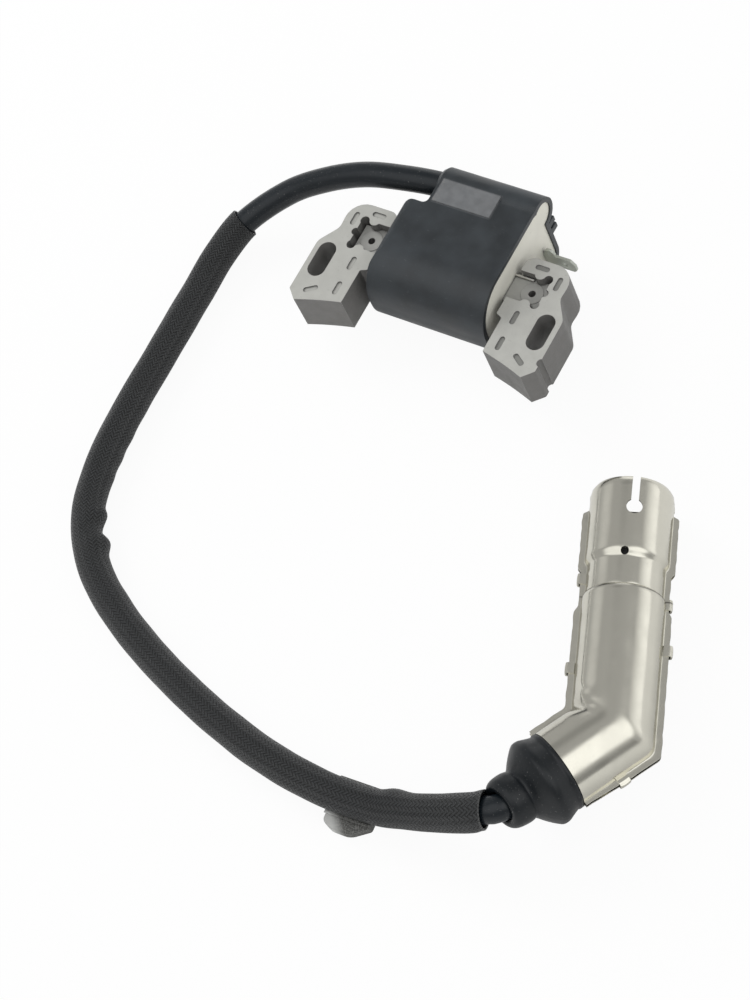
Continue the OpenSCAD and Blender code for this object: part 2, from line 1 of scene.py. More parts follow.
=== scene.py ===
"""Looks of a small-engine ignition coil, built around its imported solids.

Everything is in metres, in the frame of the solids: X from leg to leg, Y from the flywheel to the lead
tower, Z up from the table.
"""

import logging
import math
from dataclasses import dataclass, field
from enum import Enum
from functools import reduce
from typing import Callable, Optional, Sequence, Union

import bpy
from mathutils import Matrix, Vector, noise


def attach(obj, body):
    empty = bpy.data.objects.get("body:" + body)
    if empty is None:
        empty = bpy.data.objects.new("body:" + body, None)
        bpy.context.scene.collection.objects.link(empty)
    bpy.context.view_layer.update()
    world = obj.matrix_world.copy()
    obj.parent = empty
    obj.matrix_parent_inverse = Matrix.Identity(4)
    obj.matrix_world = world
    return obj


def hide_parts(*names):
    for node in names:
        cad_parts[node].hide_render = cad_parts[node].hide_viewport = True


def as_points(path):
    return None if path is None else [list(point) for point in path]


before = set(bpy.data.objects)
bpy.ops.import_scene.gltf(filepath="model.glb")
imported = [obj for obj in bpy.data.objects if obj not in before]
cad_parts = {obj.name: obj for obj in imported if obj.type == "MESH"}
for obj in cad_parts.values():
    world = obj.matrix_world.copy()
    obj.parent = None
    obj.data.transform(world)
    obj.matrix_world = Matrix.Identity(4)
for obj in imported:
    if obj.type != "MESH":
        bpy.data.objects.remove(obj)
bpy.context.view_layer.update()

log = logging.getLogger("ignition_coil")

MM = 0.001
TINY = 1e-12
COIL_BODY = "coil"
CAP_BODY = "plug_cap"
SURFACE_NODE = "Principled BSDF"

Pair = tuple[float, float]
Triple = tuple[float, float, float]
Table = tuple[Pair, ...]
Points = list[Vector]
Piece = bpy.types.Object
Socket = bpy.types.NodeSocket
Input = Union[float, Triple, Socket]
Inputs = dict[Union[int, str], Optional[Input]]


class Coordinates(Enum):
    """Texture coordinates that the finishes read."""

    PLACE = "Object"
    SURFACE = "UV"
    FACING = "Normal"
    DIRECTION = "Generated"


class Half(Enum):
    """The two pressed halves of the plug cap's shield, with the side of the seam that each is on."""

    UPPER = 1
    LOWER = -1


def smooth_step(value: float) -> float:
    """Eased value from 0 to 1, flat at both ends."""
    value = min(1.0, max(0.0, value))
    return value * value * (3 - 2 * value)


def hump(value: float, middle: float, width: float) -> float:
    """Bell curve of height 1 around a middle."""
    return math.exp(-(((value - middle) / width) ** 2))


def spread(start: float, stop: float, parts: int) -> list[float]:
    """Values an equal step apart, from start to stop."""
    return [start + (stop - start) * k / parts for k in range(parts + 1)]


def arc(x: float, y: float, radius: float, angles: Sequence[float]) -> list[Pair]:
    """Points round a centre, at some angles."""
    return [(x + radius * math.cos(a), y + radius * math.sin(a)) for a in angles]


def tinted(colour: Triple, factor: float) -> Triple:
    """Colour made lighter or darker by a factor."""
    return tuple(min(1.0, c * factor) for c in colour)


def between(value: float, table: Table) -> float:
    """Reads a table of (position, size) pairs with eased steps between its entries.

    Args:
        value: Position to read at.
        table: Pairs in rising order of position.

    Returns:
        The size at that position.
    """
    if value <= table[0][0]:
        return table[0][1]
    for (p0, s0), (p1, s1) in zip(table, table[1:]):
        if value <= p1:
            return s0 + (s1 - s0) * smooth_step((value - p0) / (p1 - p0))
    return table[-1][1]


class Shader:
    """A node tree with short calls for the nodes that the finishes share."""

    mix_first = 6
    mix_second = 7
    mix_result = 2
    edge_samples = 4
    crevice_samples = 6

    def __init__(self, tree: bpy.types.NodeTree) -> None:
        """Keeps the tree that the calls add to."""
        self.tree = tree

    def node(self, kind: str, inputs: Inputs, **settings: object) -> bpy.types.Node:
        """Adds a node.

        Args:
            kind: Its type, without the words ShaderNode.
            inputs: Values or sources of its sockets, by name or number.
            settings: Its other properties.

        Returns:
            The node.
        """
        node = self.tree.nodes.new("ShaderNode" + kind)
        for name, value in settings.items():
            setattr(node, name, value)
        for key, value in inputs.items():
            self.put(node.inputs[key], value)
        return node

    def put(self, socket: Socket, value: Optional[Input]) -> None:
        """Links a socket to another, sets its own value, or leaves it as it is.

        Args:
            socket: Socket to set.
            value: Source or value that it gets, if any.
        """
        if isinstance(value, bpy.types.NodeSocket):
            self.tree.links.new(value, socket)
        elif isinstance(value, tuple) and socket.type == "RGBA":
            socket.default_value = (*value, 1.0)
        elif value is not None:
            socket.default_value = value

    def surface(self, name: str, value: Input) -> None:
        """Sets or links one socket of the surface."""
        self.put(self.tree.nodes[SURFACE_NODE].inputs[name], value)

    def place(self, kind: Coordinates = Coordinates.PLACE) -> Socket:
        """Texture coordinates of one kind."""
        return self.node("TexCoord", {}).outputs[kind.value]

    def split(self, vector: Socket) -> tuple[Socket, Socket, Socket]:
        """The three parts of a vector."""
        return tuple(self.node("SeparateXYZ", {0: vector}).outputs)

    def math(self, operation: str, a: Input, b: Input = 0.0, clamp: bool = False) -> Socket:
        """Result of one sum, by Blender's name for it, kept from 0 to 1 if clamped."""
        return self.node("Math", {0: a, 1: b}, operation=operation, use_clamp=clamp).outputs[0]

    def times(self, a: Input, b: Input) -> Socket:
        """Product of two values."""
        return self.math("MULTIPLY", a, b)

    def wave(self, value: Socket, pitch: float) -> Socket:
        """Sine wave along a value, from -1 to 1."""
        return self.math("SINE", self.times(value, 2 * math.pi / pitch))

    def along(self, vector: Socket, axis: Union[Triple, Socket]) -> Socket:
        """Length of a vector along an axis."""
        return self.node("VectorMath", {0: vector, 1: axis}, operation="DOT_PRODUCT").outputs["Value"]

    def rise(self, value: Input, low: float, high: float, bottom: float = 0.0, top: float = 1.0) -> Socket:
        """Ramp from bottom to top as a value goes from low to high."""
        limits = {"Value": value, "From Min": low, "From Max": high, "To Min": bottom, "To Max": top}
        return self.node("MapRange", limits).outputs["Result"]

    def window(self, value: Socket, limits: Pair, soft: float) -> Socket:
        """1 where a value lies between two limits, with soft ends."""
        ends = [self.rise(value, limit - soft, limit + soft) for limit in limits]
        return self.math("SUBTRACT", *ends, clamp=True)

    def mix(self, share: Input, a: Input, b: Input) -> Socket:
        """Colour that goes from a to b with a share."""
        inputs = {"Factor": share, self.mix_first: a, self.mix_second: b}
        return self.node("Mix", inputs, data_type="RGBA").outputs[self.mix_result]

    def bump(self, height: Socket, depth: float, normal: Optional[Socket] = None) -> Socket:
        """Normal bent by a height from 0 to 1 that stands for a depth in metres."""
        return self.node("Bump", {"Height": height, "Distance": depth, "Normal": normal}).outputs["Normal"]

    def soft_edges(self, radius: float) -> Socket:
        """Normal that rounds sharp edges off to a radius."""
        return self.node("Bevel", {"Radius": radius}, samples=self.edge_samples).outputs["Normal"]

    def edge_wear(self, radius: float, flat: float = 0.995, sharp: float = 0.8) -> Socket:
        """1 on worn corners and 0 on flats, from the bend between true and rounded normals."""
        true = self.node("NewGeometry", {}).outputs["Normal"]
        return self.rise(self.along(true, self.soft_edges(radius)), flat, sharp)

    def openness(self, reach: float) -> Socket:
        """1 in the open, and less where other faces stand within reach."""
        return self.node("AmbientOcclusion", {"Distance": reach}, samples=self.crevice_samples).outputs["AO"]


@dataclass(frozen=True)
class Grain:
    """Soft noise: the width of a blotch, its finer layers, and a ramp from low to high that it is read by."""

    size: float
    detail: float = 3.0
    low: float = 0.0
    high: float = 1.0
    bottom: float = 0.0
    top: float = 1.0
    stretch: Triple = (1, 1, 1)
    kind: Coordinates = Coordinates.PLACE

    def noise(self, shader: Shader) -> Socket:
        """The noise itself, from 0 to 1.

        Args:
            shader: Tree to add to.

        Returns:
            The noise's socket.
        """
        mapping = shader.node("Mapping", {"Vector": shader.place(self.kind), "Scale": self.stretch})
        inputs = {"Vector": mapping.outputs[0], "Scale": 1 / self.size, "Detail": self.detail}
        return shader.node("TexNoise", inputs).outputs["Fac"]

    def ramp(self, shader: Shader) -> Socket:
        """The noise read by its ramp."""
        return shader.rise(self.noise(shader), self.low, self.high, self.bottom, self.top)


@dataclass(frozen=True)
class Finish:
    """A surface finish: its colour, shine and metal, its mottling between two shades, and its fine relief."""

    name: str
    colour: Triple
    rough: float = 0.5
    metal: float = 0.0
    mottle: Grain = Grain(2.4 * MM, 4)
    shades: Pair = (0.78, 1.18)
    rough_less: float = 0.0
    rough_more: float = 0.0
    corner: float = 0.15 * MM
    layers: tuple[tuple[Grain, float], ...] = ((Grain(0.3 * MM, 2), 0.02 * MM),)

    def material(self) -> bpy.types.Material:
        """The finish as a material, made once.

        Returns:
            The material of that name.
        """
        label = "look_" + self.name
        made = bpy.data.materials.get(label)
        if made is None:
            made = bpy.data.materials.new(label)
            made.use_nodes = True
            shader = Shader(made.node_tree)
            shader.surface("Metallic", self.metal)
            shader.surface("Roughness", self.rough)
            shader.surface("Base Color", self.colour)
            self.dress(shader)
        return made

    def tint(self, factor: float) -> Triple:
        """The finish's own colour, lighter or darker by a factor."""
        return tinted(self.colour, factor)

    def mottled(self, shader: Shader, share: Socket) -> Socket:
        """The finish's colour, from its first shade to its second with a share."""
        return shader.mix(share, *(self.tint(shade) for shade in self.shades))

    def roughen(self, shader: Shader, value: Socket, low: float, high: float) -> None:
        """Lets the roughness vary as a value goes from low to high."""
        limits = (self.rough - self.rough_less, self.rough + self.rough_more)
        shader.surface("Roughness", shader.rise(value, low, high, *limits))

    def relief(self, shader: Shader, normal: Optional[Socket]) -> Socket:
        """Normal bent by the layers of grain.

        Args:
            shader: Tree to add to.
            normal: Normal to start from, or none for the mesh's own.

        Returns:
            The bent normal.
        """
        for grain, depth in self.layers:
            normal = shader.bump(grain.noise(shader), depth, normal)
        return normal

    def dress(self, shader: Shader) -> None:
        """Adds fine mottling and grain, the least that every finish has."""
        shader.surface("Base Color", self.mottled(shader, self.mottle.noise(shader)))
        shader.surface("Normal", self.relief(shader, shader.soft_edges(self.corner)))


@dataclass(frozen=True)
class LaminationSteel(Finish):
    """Stacked electrical steel: pale coated faces, cut sides with sheet lines that are darker partly as cut
    steel and partly as painted shade, and painted shade in crevices and dimples.
    """

    mottle: Grain = Grain(3 * MM, 5)
    shades: Pair = (0.88, 1.1)
    rough_less: float = 0.08
    rough_more: float = 0.08
    corner: float = 0.18 * MM
    layers: tuple[tuple[Grain, float], ...] = ((Grain(0.25 * MM, 3), 0.012 * MM),)
    speck: Grain = Grain(0.5 * MM, 2, 0.27, 0.34)
    speck_shade: float = 0.87
    # Cut sides are darker partly as cut steel and partly as painted shade.
    side: Triple = (0.18, 0.176, 0.168)
    side_shades: Pair = (0.8, 1.22)
    streak: Grain = Grain(0.9 * MM, 3, stretch=(1, 1, 8))
    sheet: float = 0.5 * MM
    line_shade: float = 0.55
    line_depth: float = 0.02 * MM
    bare: Triple = (0.62, 0.615, 0.6)
    worn: float = 0.22 * MM
    # Painted shade: tone and reach of the darkening in crevices and along the dimples' edges.
    crevice_shade: float = 0.22
    crevice_reach: float = 0.6 * MM
    dimple_floor: Pair = (19.2 * MM, 19.6 * MM)
    dimple_edge: float = 0.05 * MM

    def dress(self, shader: Shader) -> None:
        """Pale faces, sheet lines on the sides, painted shade in the pits and crevices, and bright corners.

        Args:
            shader: Tree to add to.
        """
        up = shader.math("ABSOLUTE", shader.split(shader.place(Coordinates.FACING))[2])
        # face is 1 on up-facing faces; the sides get the darker colour that is partly painted shade.
        face = shader.rise(up, 0.5, 0.9)
        mottle = self.mottle.noise(shader)
        tone = shader.mix(self.speck.ramp(shader), self.tint(self.speck_shade), self.mottled(shader, mottle))
        line = shader.rise(shader.wave(shader.split(shader.place())[2], self.sheet), -1, -0.55)
        cut = shader.mix(self.streak.noise(shader), *(tinted(self.side, shade) for shade in self.side_shades))
        cut = shader.mix(shader.rise(line, 0, 1, 0.84, 1), tinted(self.side, self.line_shade), cut)
        base = shader.mix(face, cut, self.shade_crevices_and_pits(shader, tone))
        wear = shader.times(shader.edge_wear(self.worn), shader.rise(mottle, 0.25, 0.7, 0.1, 0.6))
        shader.surface("Base Color", shader.mix(wear, base, self.bare))
        self.roughen(shader, mottle, 0.3, 0.7)
        ridge = shader.times(line, shader.math("SUBTRACT", 1.0, face))
        lined = shader.bump(ridge, self.line_depth, shader.soft_edges(self.corner))
        shader.surface("Normal", self.relief(shader, lined))

    def shade_crevices_and_pits(self, shader: Shader, tone: Socket) -> Socket:
        """Tone of the faces with painted shade along the dimples' edges and in other crevices, and painted
        shadow on the floors of the right leg's dimples.

        Args:
            shader: Tree to add to.
            tone: Tone without the painted shade.

        Returns:
            Tone with it.
        """
        x, _, z = shader.split(shader.place())
        # Painted shadow: the dimple floors go dark on the right leg only, where the light leaves them in
        # shade.
        right = shader.rise(x, -1 * MM, 1 * MM, 0.06, 0.62)
        pit_shade = shader.times(shader.window(z, self.dimple_floor, self.dimple_edge), right)
        # Painted shade where other faces stand close.
        rim = shader.rise(shader.openness(self.crevice_reach), 0.88, 0.5, 0, 0.9)
        return shader.mix(shader.math("MAXIMUM", pit_shade, rim), tone, self.tint(self.crevice_shade))


@dataclass(frozen=True)
class HousingPlastic(Finish):
    """Charcoal moulded plastic with a satin bloom and a paler flat pad over the tower."""

    mottle: Grain = Grain(9 * MM, 4, 0.35, 0.75)
    shades: Pair = (0.75, 1.45)
    rough_less: float = 0.06
    rough_more: float = 0.1
    corner: float = 0.35 * MM
    layers: tuple[tuple[Grain, float], ...] = (
        (Grain(6 * MM, 2), 0.12 * MM), (Grain(0.22 * MM, 2), 0.014 * MM))
    pale: Triple = (0.22, 0.226, 0.23)
    scuff: Grain = Grain(1.4 * MM, 6, 0.66, 0.76, 0, 0.18, (1, 3, 1))
    worn: float = 0.3 * MM
    rubbed: Grain = Grain(2.5 * MM, 5, 0.3, 0.65, 0.6, 0.82)
    pad: Table = ((-10.1 * MM, 7.9 * MM), (11.7 * MM, 19.1 * MM), (26.4 * MM, 30 * MM))
    pad_edge: float = 0.4 * MM
    dust: Triple = (0.2, 0.2, 0.195)
    dusting: Grain = Grain(0.6 * MM, 3, 0.5, 0.62)
    dusty_end: float = 2.5 * MM

    def dress(self, shader: Shader) -> None:
        """Cloudy bloom, moulded grain, rubbed corners and the pad.

        Args:
            shader: Tree to add to.
        """
        place = shader.split(shader.place())
        inside = [shader.window(part, limits, self.pad_edge) for part, limits in zip(place, self.pad)]
        pad = reduce(shader.times, inside)
        cloud = self.mottle.ramp(shader)
        wear = shader.times(shader.edge_wear(self.worn), shader.rise(cloud, 0, 1, 0.1, 0.3))
        base = self.mottled(shader, cloud)
        for share in (self.scuff.ramp(shader), wear, shader.times(pad, self.rubbed.ramp(shader))):
            base = shader.mix(share, base, self.pale)
        edge = self.pad[0][0]
        end = shader.times(pad, shader.rise(place[0], edge + self.dusty_end, edge))
        end = shader.times(end, self.dusting.ramp(shader))
        shader.surface("Base Color", shader.mix(end, base, self.dust))
        self.roughen(shader, cloud, 0, 1)
        shader.surface("Normal", self.relief(shader, shader.soft_edges(self.corner)))


@dataclass(frozen=True)
class PottingResin(Finish):
    """Cast cream resin with faint flow marks, a few dark specks and painted shade in its corners."""

    mottle: Grain = Grain(7 * MM, 4, 0.3, 0.75)
    shades: Pair = (1.0, 0.9)
    corner: float = 0.3 * MM
    layers: tuple[tuple[Grain, float], ...] = (
        (Grain(4 * MM, 3), 0.18 * MM), (Grain(0.4 * MM, 2), 0.02 * MM))
    stain: Triple = (0.50, 0.47, 0.40)
    speck: Grain = Grain(0.8 * MM, 2, 0.7, 0.78, 0, 0.4)
    painted_shade: Triple = (0.07, 0.072, 0.07)
    shade_reach: float = 2.5 * MM

    def dress(self, shader: Shader) -> None:
        """Flow marks, specks, painted shade in the corners and a gently uneven cast face.

        Args:
            shader: Tree to add to.
        """
        flowed = self.mottled(shader, self.mottle.ramp(shader))
        base = shader.mix(self.speck.ramp(shader), flowed, self.stain)
        # Painted shade: darker where other faces stand close, as in the gap by the core bar.
        corner_shade = shader.rise(shader.openness(self.shade_reach), 0.7, 0.35, 0, 0.8)
        shader.surface("Base Color", shader.mix(corner_shade, base, self.painted_shade))
        shader.surface("Normal", self.relief(shader, shader.soft_edges(self.corner)))


@dataclass(frozen=True)
class BraidedSleeve(Finish):
    """Black woven sleeve: strands cross over two and under two, each a bundle of filaments."""

    mottle: Grain = Grain(5 * MM, 4, 0.35, 0.8)
    shades: Pair = (1.0, 2.6)
    fibre: Grain = Grain(0.12, 3, kind=Coordinates.SURFACE)
    fibre_depth: float = 0.05 * MM
    gap_shade: Triple = (0.002, 0.0022, 0.0024)
    # Colour of the painted highlight on the strands' crowns.
    crown: Triple = (0.03, 0.033, 0.0345)
    rim_highlight: Triple = (0.11, 0.112, 0.11)
    repeat: float = 4.0
    crossed: float = 1.5
    filaments: float = 5.0
    filament_height: float = 0.09
    strand_round: float = 2.4
    weave_depth: float = 0.32 * MM
    sheen: float = 0.06
    sheen_rough: float = 0.4

    def dress(self, shader: Shader) -> None:
        """Weave from the sleeve's own surface coordinates, with dusty fibres, painted shade between the
        strands, painted highlights on their crowns and a painted highlight along the cut rim.

        Args:
            shader: Tree to add to.
        """
        u, v, _ = shader.split(shader.place(Coordinates.SURFACE))
        right = shader.math("ADD", u, v)
        left = shader.math("SUBTRACT", u, v)
        cells = shader.math("ADD", shader.math("FLOOR", right), shader.math("FLOOR", left))
        over = shader.math("LESS_THAN", shader.math("FLOORED_MODULO", cells, self.repeat), self.crossed)
        under = shader.math("SUBTRACT", 1.0, over)
        height = shader.math("ADD", shader.times(over, self.strand(shader, left)),
                             shader.times(under, self.strand(shader, right)))
        fibre = self.fibre.noise(shader)
        tone = self.mottled(shader, shader.times(fibre, self.mottle.ramp(shader)))
        # Painted shade in the valleys between strands.
        tone = shader.mix(shader.rise(height, 0.25, 0.8), self.gap_shade, tone)
        # Painted highlight on the strands' crowns.
        tone = shader.mix(shader.rise(height, 0.72, 1.0, 0, 0.9), tone, self.crown)
        # Painted highlight along the sleeve's cut rim.
        rim = shader.times(shader.rise(v, -0.4, -0.1), shader.rise(fibre, 0.3, 0.6, 0.3, 1))
        shader.surface("Base Color", shader.mix(rim, tone, self.rim_highlight))
        shader.surface("Sheen Weight", self.sheen)
        shader.surface("Sheen Roughness", self.sheen_rough)
        shader.surface("Normal", shader.bump(fibre, self.fibre_depth, shader.bump(height, self.weave_depth)))

    def strand(self, shader: Shader, across: Socket) -> Socket:
        """Rounded height across one set of strands, with its filaments.

        Args:
            shader: Tree to add to.
            across: Coordinate across the strands, one unit for each.

        Returns:
            Height from 0 to 1.
        """
        part = shader.math("SUBTRACT", shader.times(shader.math("FRACT", across), 2.0), 1.0)
        fall = shader.math("POWER", shader.math("ABSOLUTE", part), self.strand_round)
        thread = shader.times(shader.wave(across, 1 / self.filaments), self.filament_height)
        return shader.math("ADD", shader.math("SUBTRACT", 1.0, fall), thread, clamp=True)


@dataclass(frozen=True)
class PressedNickel(Finish):
    """Nickel-plated pressed sheet: warm silver, smudged, with a painted shade line in one groove and rippled
    flanges.
    """

    mottle: Grain = Grain(6 * MM, 5)
    shades: Pair = (1.0, 0.9)
    rough_less: float = 0.04
    rough_more: float = 0.09
    layers: tuple[tuple[Grain, float], ...] = (
        (Grain(0.5 * MM, 3), 0.003 * MM), (Grain(9 * MM, 2), 0.06 * MM))
    brushed: Grain = Grain(0.3 * MM, 3, 0.3, 0.7, 0, 0.55)
    pits: Grain = Grain(0.7 * MM, 2, 0.72, 0.8, 0, 0.5)
    dull: Triple = (0.44, 0.425, 0.39)
    painted_shade: Triple = (0.12, 0.115, 0.1)
    barrel: Triple = (-0.382683, 0.92388, 0.0)
    groove: Pair = (-96.5 * MM, -96.1 * MM)
    groove_edge: float = 0.15 * MM
    seam_up: Triple = (0.1842, 0.0763, 0.9799)
    seam: Pair = (19.5 * MM, 21.5 * MM)
    seam_edge: float = 0.2 * MM
    ripple: Grain = Grain(5 * MM, 1)
    ripple_depth: float = 0.4 * MM

    def dress(self, shader: Shader) -> None:
        """Smudges, brush marks, dull pits, a painted shade line behind the neck, small dents and rippled
        flanges.

        Args:
            shader: Tree to add to.
        """
        smudge = self.mottle.noise(shader)
        base = self.mottled(shader, shader.rise(smudge, 0.35, 0.8))
        base = shader.mix(self.brushed.ramp(shader), base, self.tint(self.shades[1]))
        base = shader.mix(self.pits.ramp(shader), base, self.dull)
        # Painted shade: a dark line along the groove behind the neck.
        line = shader.window(shader.along(shader.place(), self.barrel), self.groove, self.groove_edge)
        line = shader.times(line, shader.rise(smudge, 0.35, 0.6, 0.25, 0.85))
        shader.surface("Base Color", shader.mix(line, base, self.painted_shade))
        self.roughen(shader, smudge, 0.3, 0.75)
        flange = shader.window(shader.along(shader.place(), self.seam_up), self.seam, self.seam_edge)
        ripple = shader.times(self.ripple.noise(shader), flange)
        shader.surface("Normal", shader.bump(ripple, self.ripple_depth, self.relief(shader, None)))


@dataclass(frozen=True)
class BlackRubber(Finish):
    """Black rubber with a satin skin and dusty high spots."""

    mottle: Grain = Grain(5 * MM, 5, 0.5, 0.9, 0, 0.5)
    rough_less: float = 0.05
    rough_more: float = 0.14
    corner: float = 0.3 * MM
    layers: tuple[tuple[Grain, float], ...] = (
        (Grain(2.5 * MM, 2), 0.05 * MM), (Grain(0.3 * MM, 2), 0.012 * MM))
    dusty: Triple = (0.06, 0.061, 0.064)
    speck: Triple = (0.13, 0.13, 0.125)
    specks: Grain = Grain(0.45 * MM, 1, 0.7, 0.76, 0, 0.7)
    shine: float = 0.37

    def dress(self, shader: Shader) -> None:
        """Dusty bloom, specks and a fine moulded skin.

        Args:
            shader: Tree to add to.
        """
        bloom = self.mottle.ramp(shader)
        dusted = shader.mix(bloom, self.colour, self.dusty)
        shader.surface("Base Color", shader.mix(self.specks.ramp(shader), dusted, self.speck))
        self.roughen(shader, bloom, 0, self.mottle.top)
        shader.surface("Specular IOR Level", self.shine)
        shader.surface("Normal", self.relief(shader, shader.soft_edges(self.corner)))


@dataclass(frozen=True)
class ClipZinc(Finish):
    """Pale zinc foot, pimpled where it runs up under the sleeve and darkened there by a painted shadow of the
    sleeve.
    """

    mottle: Grain = Grain(1.6 * MM, 4)
    shades: Pair = (0.85, 1.12)
    corner: float = 0.5 * MM
    shadowed_zinc: Triple = (0.1, 0.1, 0.094)
    across: Triple = (0.8, 0.6, 0.0)
    turn: Pair = (-55.2 * MM, -52.4 * MM)
    pimple: Grain = Grain(0.35 * MM, 1, 0.45, 0.62)
    pimple_shade: float = 2.2
    pimple_depth: float = 0.08 * MM

    def dress(self, shader: Shader) -> None:
        """Mottled zinc, a painted shadow toward the sleeve and fine pimples in it.

        Args:
            shader: Tree to add to.
        """
        clean = self.mottled(shader, self.mottle.noise(shader))
        pimple = self.pimple.ramp(shader)
        # Painted shadow of the sleeve: the foot goes dark toward where it runs up under it.
        painted_shade = shader.rise(shader.along(shader.place(), self.across), *self.turn)
        dark = shader.mix(pimple, self.shadowed_zinc, tinted(self.shadowed_zinc, self.pimple_shade))
        shader.surface("Base Color", shader.mix(painted_shade, clean, dark))
        rounded = shader.soft_edges(self.corner)
        shader.surface("Normal", shader.bump(shader.times(pimple, painted_shade), self.pimple_depth, rounded))


@dataclass(frozen=True)
class WoundCopper(Finish):
    """Enamelled copper wire laid in turns along X."""

    shades: Pair = (0.45, 1.0)
    wire: float = 0.3 * MM
    wire_depth: float = 0.1 * MM

    def dress(self, shader: Shader) -> None:
        """Turns of wire as a ridged surface, with painted shade between the turns.

        Args:
            shader: Tree to add to.
        """
        ridge = shader.rise(shader.wave(shader.split(shader.place())[0], self.wire), -1, 0.4)
        # Painted shade between the turns: the colour darkens where the ridge is low.
        shader.surface("Base Color", self.mottled(shader, ridge))
        shader.surface("Normal", shader.bump(ridge, self.wire_depth))


STEEL = LaminationSteel("lamination_steel", (0.48, 0.48, 0.445), 0.52, 0.15)
BAR_STEEL = LaminationSteel("bar_steel", (0.41, 0.41, 0.385), 0.5, 0.2)
PLASTIC = HousingPlastic("housing_plastic", (0.0245, 0.0295, 0.0335), 0.38)
RESIN = PottingResin("potting_resin", (0.86, 0.845, 0.75), 0.5)
JACKET = BlackRubber("lead_jacket_rubber", (0.0068, 0.0102, 0.0135), 0.34, dusty=(0.018, 0.023, 0.0275))
BRAID = BraidedSleeve("sleeve_braid", (0.0045, 0.005, 0.0053), 0.36)
NICKEL = PressedNickel("shield_nickel", (0.685, 0.668, 0.587), 0.16, 1.0)
GROMMET = BlackRubber("grommet_rubber", (0.005, 0.0072, 0.009), 0.4, dusty=(0.013, 0.016, 0.0185))
PHENOLIC = BlackRubber("cap_phenolic", (0.016, 0.016, 0.018), 0.5)
ZINC = ClipZinc("clip_zinc", (0.58, 0.585, 0.565), 0.45, 0.3)
TIN = Finish("terminal_tin", (0.5, 0.525, 0.47), 0.4, 0.5)
BRIGHT_WIRE = Finish("tinned_wire", (0.66, 0.65, 0.62), 0.3, 0.9)
BRASS = Finish("turned_brass", (0.56, 0.41, 0.17), 0.3, 1.0)
COPPER = WoundCopper("enamelled_copper", (0.5, 0.22, 0.1), 0.35, 0.8)
BARE_COPPER = Finish("bare_copper", (0.62, 0.3, 0.16), 0.35, 1.0)
BOBBIN = Finish("bobbin_plastic", (0.62, 0.59, 0.5), 0.55)
BOARD = Finish("board_laminate", (0.05, 0.15, 0.07), 0.4)
CHIP = Finish("component_case", (0.014, 0.014, 0.016), 0.45)
RESISTOR = Finish("resistor_coat", (0.38, 0.28, 0.16), 0.5)
CERAMIC = Finish("suppressor_ceramic", (0.62, 0.57, 0.47), 0.6)
SPRING = Finish("spring_wire", (0.5, 0.49, 0.46), 0.35, 1.0)


def dress_node(node: str, finish: Finish) -> Piece:
    """Gives a solid its finish.

    Args:
        node: Name of the solid.
        finish: Finish that it gets.

    Returns:
        The solid's object.
    """
    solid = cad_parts[node]
    for slot in solid.material_slots:
        slot.material = finish.material()
    log.info("dressed %s in %s", node, finish.name)
    return solid


def add_object(name: str, data: bpy.types.ID) -> Piece:
    """New object in the scene.

    Args:
        name: Name of the object.
        data: Its mesh, curve, lamp or camera.

    Returns:
        The object.
    """
    piece = bpy.data.objects.new(name, data)
    bpy.context.scene.collection.objects.link(piece)
    return piece


def add_mesh(name: str, points: Sequence[Sequence[float]], faces: Sequence[tuple[int, ...]]) -> Piece:
    """New object in the scene with a mesh of its own.

    Args:
        name: Name of the object.
        points: Points of the mesh.
        faces: Its faces, as numbers of points.

    Returns:
        The object.
    """
    mesh = bpy.data.meshes.new(name)
    mesh.from_pydata([tuple(p) for p in points], [], faces)
    return add_object(name, mesh)


def grid(name: str, rows: Sequence[Points], ring: bool = False,
         surface: Optional[Callable[[int, int], Pair]] = None) -> Piece:
    """Surface through rows of points.

    Args:
        name: Name of the piece.
        rows: Rows with the same number of points.
        ring: Whether each row closes on itself.
        surface: Surface coordinates of a row and column, where the finish needs them.

    Returns:
        The new object, in the scene.
    """
    count = len(rows[0])
    cells = [(i, j) for i in range(len(rows) - 1) for j in range(count if ring else count - 1)]
    corners = [[(i, j), (i, j + 1), (i + 1, j + 1), (i + 1, j)] for i, j in cells]
    faces = [tuple(i * count + j % count for i, j in cell) for cell in corners]
    piece = add_mesh(name, [p for row in rows for p in row], faces)
    if surface:
        layer = piece.data.uv_layers.new(name="surface")
        for place, corner in zip(layer.data, (corner for cell in corners for corner in cell)):
            place.uv = surface(*corner)
    piece.data.shade_smooth()
    return piece


def smooth_faces(mesh: bpy.types.Mesh, crease: float) -> None:
    """Shades a mesh smooth but for edges sharper than an angle in degrees."""
    mesh.shade_smooth()
    mesh.set_sharp_from_angle(angle=math.radians(crease))


def settle(piece: Piece, crease: float = 40.0) -> None:
    """Turns a piece's modifiers into its mesh.

    Args:
        piece: Piece with modifiers.
        crease: Angle in degrees over which its edges stay crisp.
    """
    scene = bpy.context.evaluated_depsgraph_get()
    mesh = bpy.data.meshes.new_from_object(piece.evaluated_get(scene))
    piece.modifiers.clear()
    piece.data = mesh
    smooth_faces(mesh, crease)


def modify(piece: Piece, kind: str, **settings: object) -> None:
    """Adds a modifier to a piece.

    Args:
        piece: Piece that it works on.
        kind: Blender's name of the modifier.
        settings: Its properties.
    """
    modifier = piece.modifiers.new(kind, kind)
    for name, value in settings.items():
        setattr(modifier, name, value)


def thicken(piece: Piece, thickness: float) -> None:
    """Gives a sheet its thickness, on the side away from its normals."""
    modify(piece, "SOLIDIFY", thickness=thickness, offset=-1)


def cut(piece: Piece, cutters: Sequence[Piece]) -> None:
    """Sets a piece up to be cut by blocks."""
    for cutter in cutters:
        modify(piece, "BOOLEAN", operation="DIFFERENCE", solver="EXACT", object=cutter)


